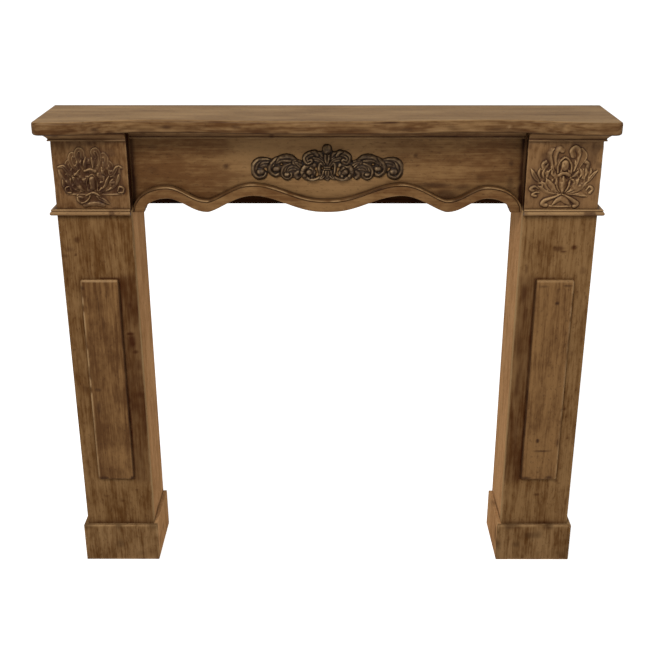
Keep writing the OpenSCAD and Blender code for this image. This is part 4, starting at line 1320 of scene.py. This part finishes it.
def makeOrnament():
    low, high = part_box("centre_ornament")
    depth = (high.y - low.y) / mm
    gx, gz, spots, edge = frontGrid(low, high, ornament["cell"])
    wide, tall = gx.max(), gz.max()
    scaleX, scaleZ = wide / 2 / ornament["halfWidth"], tall / ornament["fullHeight"]
    field = np.zeros_like(gx)
    for stroke in bothWays(ornamentSide) + ornamentMiddle:
        cutStroke(field, (gx - wide / 2) / scaleX, gz / scaleZ, stroke, ornament["fat"])
    # A thin web joins the scrolls where their leaves meet
    web = smooth(0.3, 0.5, blurred((field > 0.8).astype(float), 4)) * ornament["web"]
    field = blurred(np.maximum(field, web), 1)
    field *= (depth - 0.3) / field.max()
    field = field * smooth(0, ornament["rimFade"], edge)
    lowSpot = np.clip((blurred(field, 5) - field) / ornament["hollow"], 0, 1)
    highSpot = np.clip((field - blurred(field, 4)) / ornament["ridge"], 0, 1)
    # Only the cells that the scrolls cover are kept
    keep = field > ornament["edge"]
    cells = keep[:-1, :-1] | keep[1:, :-1] | keep[:-1, 1:] | keep[1:, 1:]
    used = np.zeros_like(keep)
    for a in (0, 1):
        for b in (0, 1):
            used[a:cells.shape[0] + a, b:cells.shape[1] + b] |= cells
    out = np.where(keep, field, -ornament["sink"])
    n = int(used.sum())
    number = -np.ones(gx.shape, int)
    number[used] = np.arange(n)
    front = np.stack([low.x + gx * mm, high.y - out * mm, low.z + gz * mm], -1)[used]
    back = front.copy()
    back[:, 1] = high.y + ornament["sink"] * mm * 1.6
    i, j = np.nonzero(cells)
    quads = np.stack([number[i, j], number[i + 1, j], number[i + 1, j + 1], number[i, j + 1]], 1)
    faces = [tuple(q) for q in quads] + [tuple(q[::-1] + n) for q in quads]
    faces += [(b, a, a + n, b + n) for a, b in openEdges(quads)]
    points = np.concatenate([front, back])
    # Dark wax and painted shade in the hollows and on the low parts near the ground; the backs and sides are
    # painted dark toward the frieze
    lowParts = smooth(4.0, 1.5, field) * ornament["lowWaxAndShade"]
    wax = np.maximum(lowSpot * ornament["hollowWaxAndShade"], lowParts)[used]
    # Painted highlights on ridges turned to the light, in patches
    riseX, riseZ = np.gradient(blurred(field, 1), ornament["cell"])
    lit = np.clip(0.3 - 0.5 * riseZ + 0.3 * riseX, 0, 1)
    patches = smooth(0.35, 0.7, softNoise(spots, ornament["highlightPatchSize"], ornament["seed"]))
    paleMark = mix(*ornament["highlightRange"], patches).reshape(gx.shape)
    wear = (highSpot**1.5 * lit * paleMark)[used]
    rest = np.zeros(n)
    paint = {"wax": np.concatenate([wax, rest + 1]), "wear": np.concatenate([wear, rest])}
    return makePiece("centre_ornament", points, faces, ["centre_ornament"], "cast_ornament", paint)


makeOrnament()
print("stage: ornament")

# Places and sizes are in metres, angles in degrees, powers in watts
studio = {
    "camera": (0.0095, -2.2222, 1.4837), "down": 22.12, "turn": 0.089, "lens": 57.1, "sensor": 36.0,
    "floor": 40.0, "floorColour": (0.92, 0.92, 0.92), "floorGlow": 0.75, "world": 0.40, "farthest": 200,
    "lightsAimAt": (0, 0, 0.6), "key": (-0.8, -2.3, 3.2), "keyPower": 75, "keySize": 1.1,
    "fill": (1.8, -2.4, 1.6), "fillPower": 18, "fillSize": 2.5,
}


def plainMaterial(name, colour, glow):
    material = bpy.data.materials.new(name)
    material.use_nodes = True
    tree = material.node_tree
    shader = tree.nodes["Principled BSDF"]
    shader.inputs["Base Color"].default_value = colour + (1,)
    shader.inputs["Roughness"].default_value = 0.9
    shader.inputs["Emission Color"].default_value = (1, 1, 1, 1)
    seen = tree.nodes.new("ShaderNodeLightPath").outputs["Is Camera Ray"]
    tree.links.new(ramp(tree, seen, 0, 1, 0.0, glow), shader.inputs["Emission Strength"])
    return material


def makeStudio():
    scene = bpy.context.scene
    side = studio["floor"]
    mesh = bpy.data.meshes.new("floor")
    corners = [(-side, -side, 0), (side, -side, 0), (side, side, 0), (-side, side, 0)]
    mesh.from_pydata(corners, [], [(0, 1, 2, 3)])
    floor = bpy.data.objects.new("floor", mesh)
    mesh.materials.append(plainMaterial("floorPaper", studio["floorColour"], studio["floorGlow"]))
    scene.collection.objects.link(floor)
    world = bpy.data.worlds.new("studio")
    world.use_nodes = True
    # The backdrop shows white, and lights the object less than that
    tree = world.node_tree
    backdrop = tree.nodes["Background"]
    backdrop.inputs["Color"].default_value = (1, 1, 1, 1)
    seen = tree.nodes.new("ShaderNodeLightPath").outputs["Is Camera Ray"]
    tree.links.new(ramp(tree, seen, 0, 1, studio["world"], 1.0), backdrop.inputs["Strength"])
    scene.world = world
    for name in ("key", "fill"):
        lamp = bpy.data.lights.new(name, "AREA")
        lamp.energy = studio[name + "Power"]
        lamp.size = studio[name + "Size"]
        lampObject = bpy.data.objects.new(name, lamp)
        lampObject.location = studio[name]
        away = np.array(studio[name]) - np.array(studio["lightsAimAt"])
        flat = math.hypot(away[0], away[1])
        lampObject.rotation_euler = (math.atan2(flat, away[2]), 0, math.atan2(away[0], -away[1]))
        scene.collection.objects.link(lampObject)
    lens = bpy.data.cameras.new("camera")
    lens.lens, lens.sensor_width = studio["lens"], studio["sensor"]
    lens.clip_end = studio["farthest"]
    camera = bpy.data.objects.new("camera", lens)
    camera.location = studio["camera"]
    camera.rotation_euler = (math.radians(90 - studio["down"]), 0, math.radians(studio["turn"]))
    scene.collection.objects.link(camera)
    scene.camera = camera
    scene.view_settings.view_transform = "Standard"


makeStudio()
print("stage: studio")
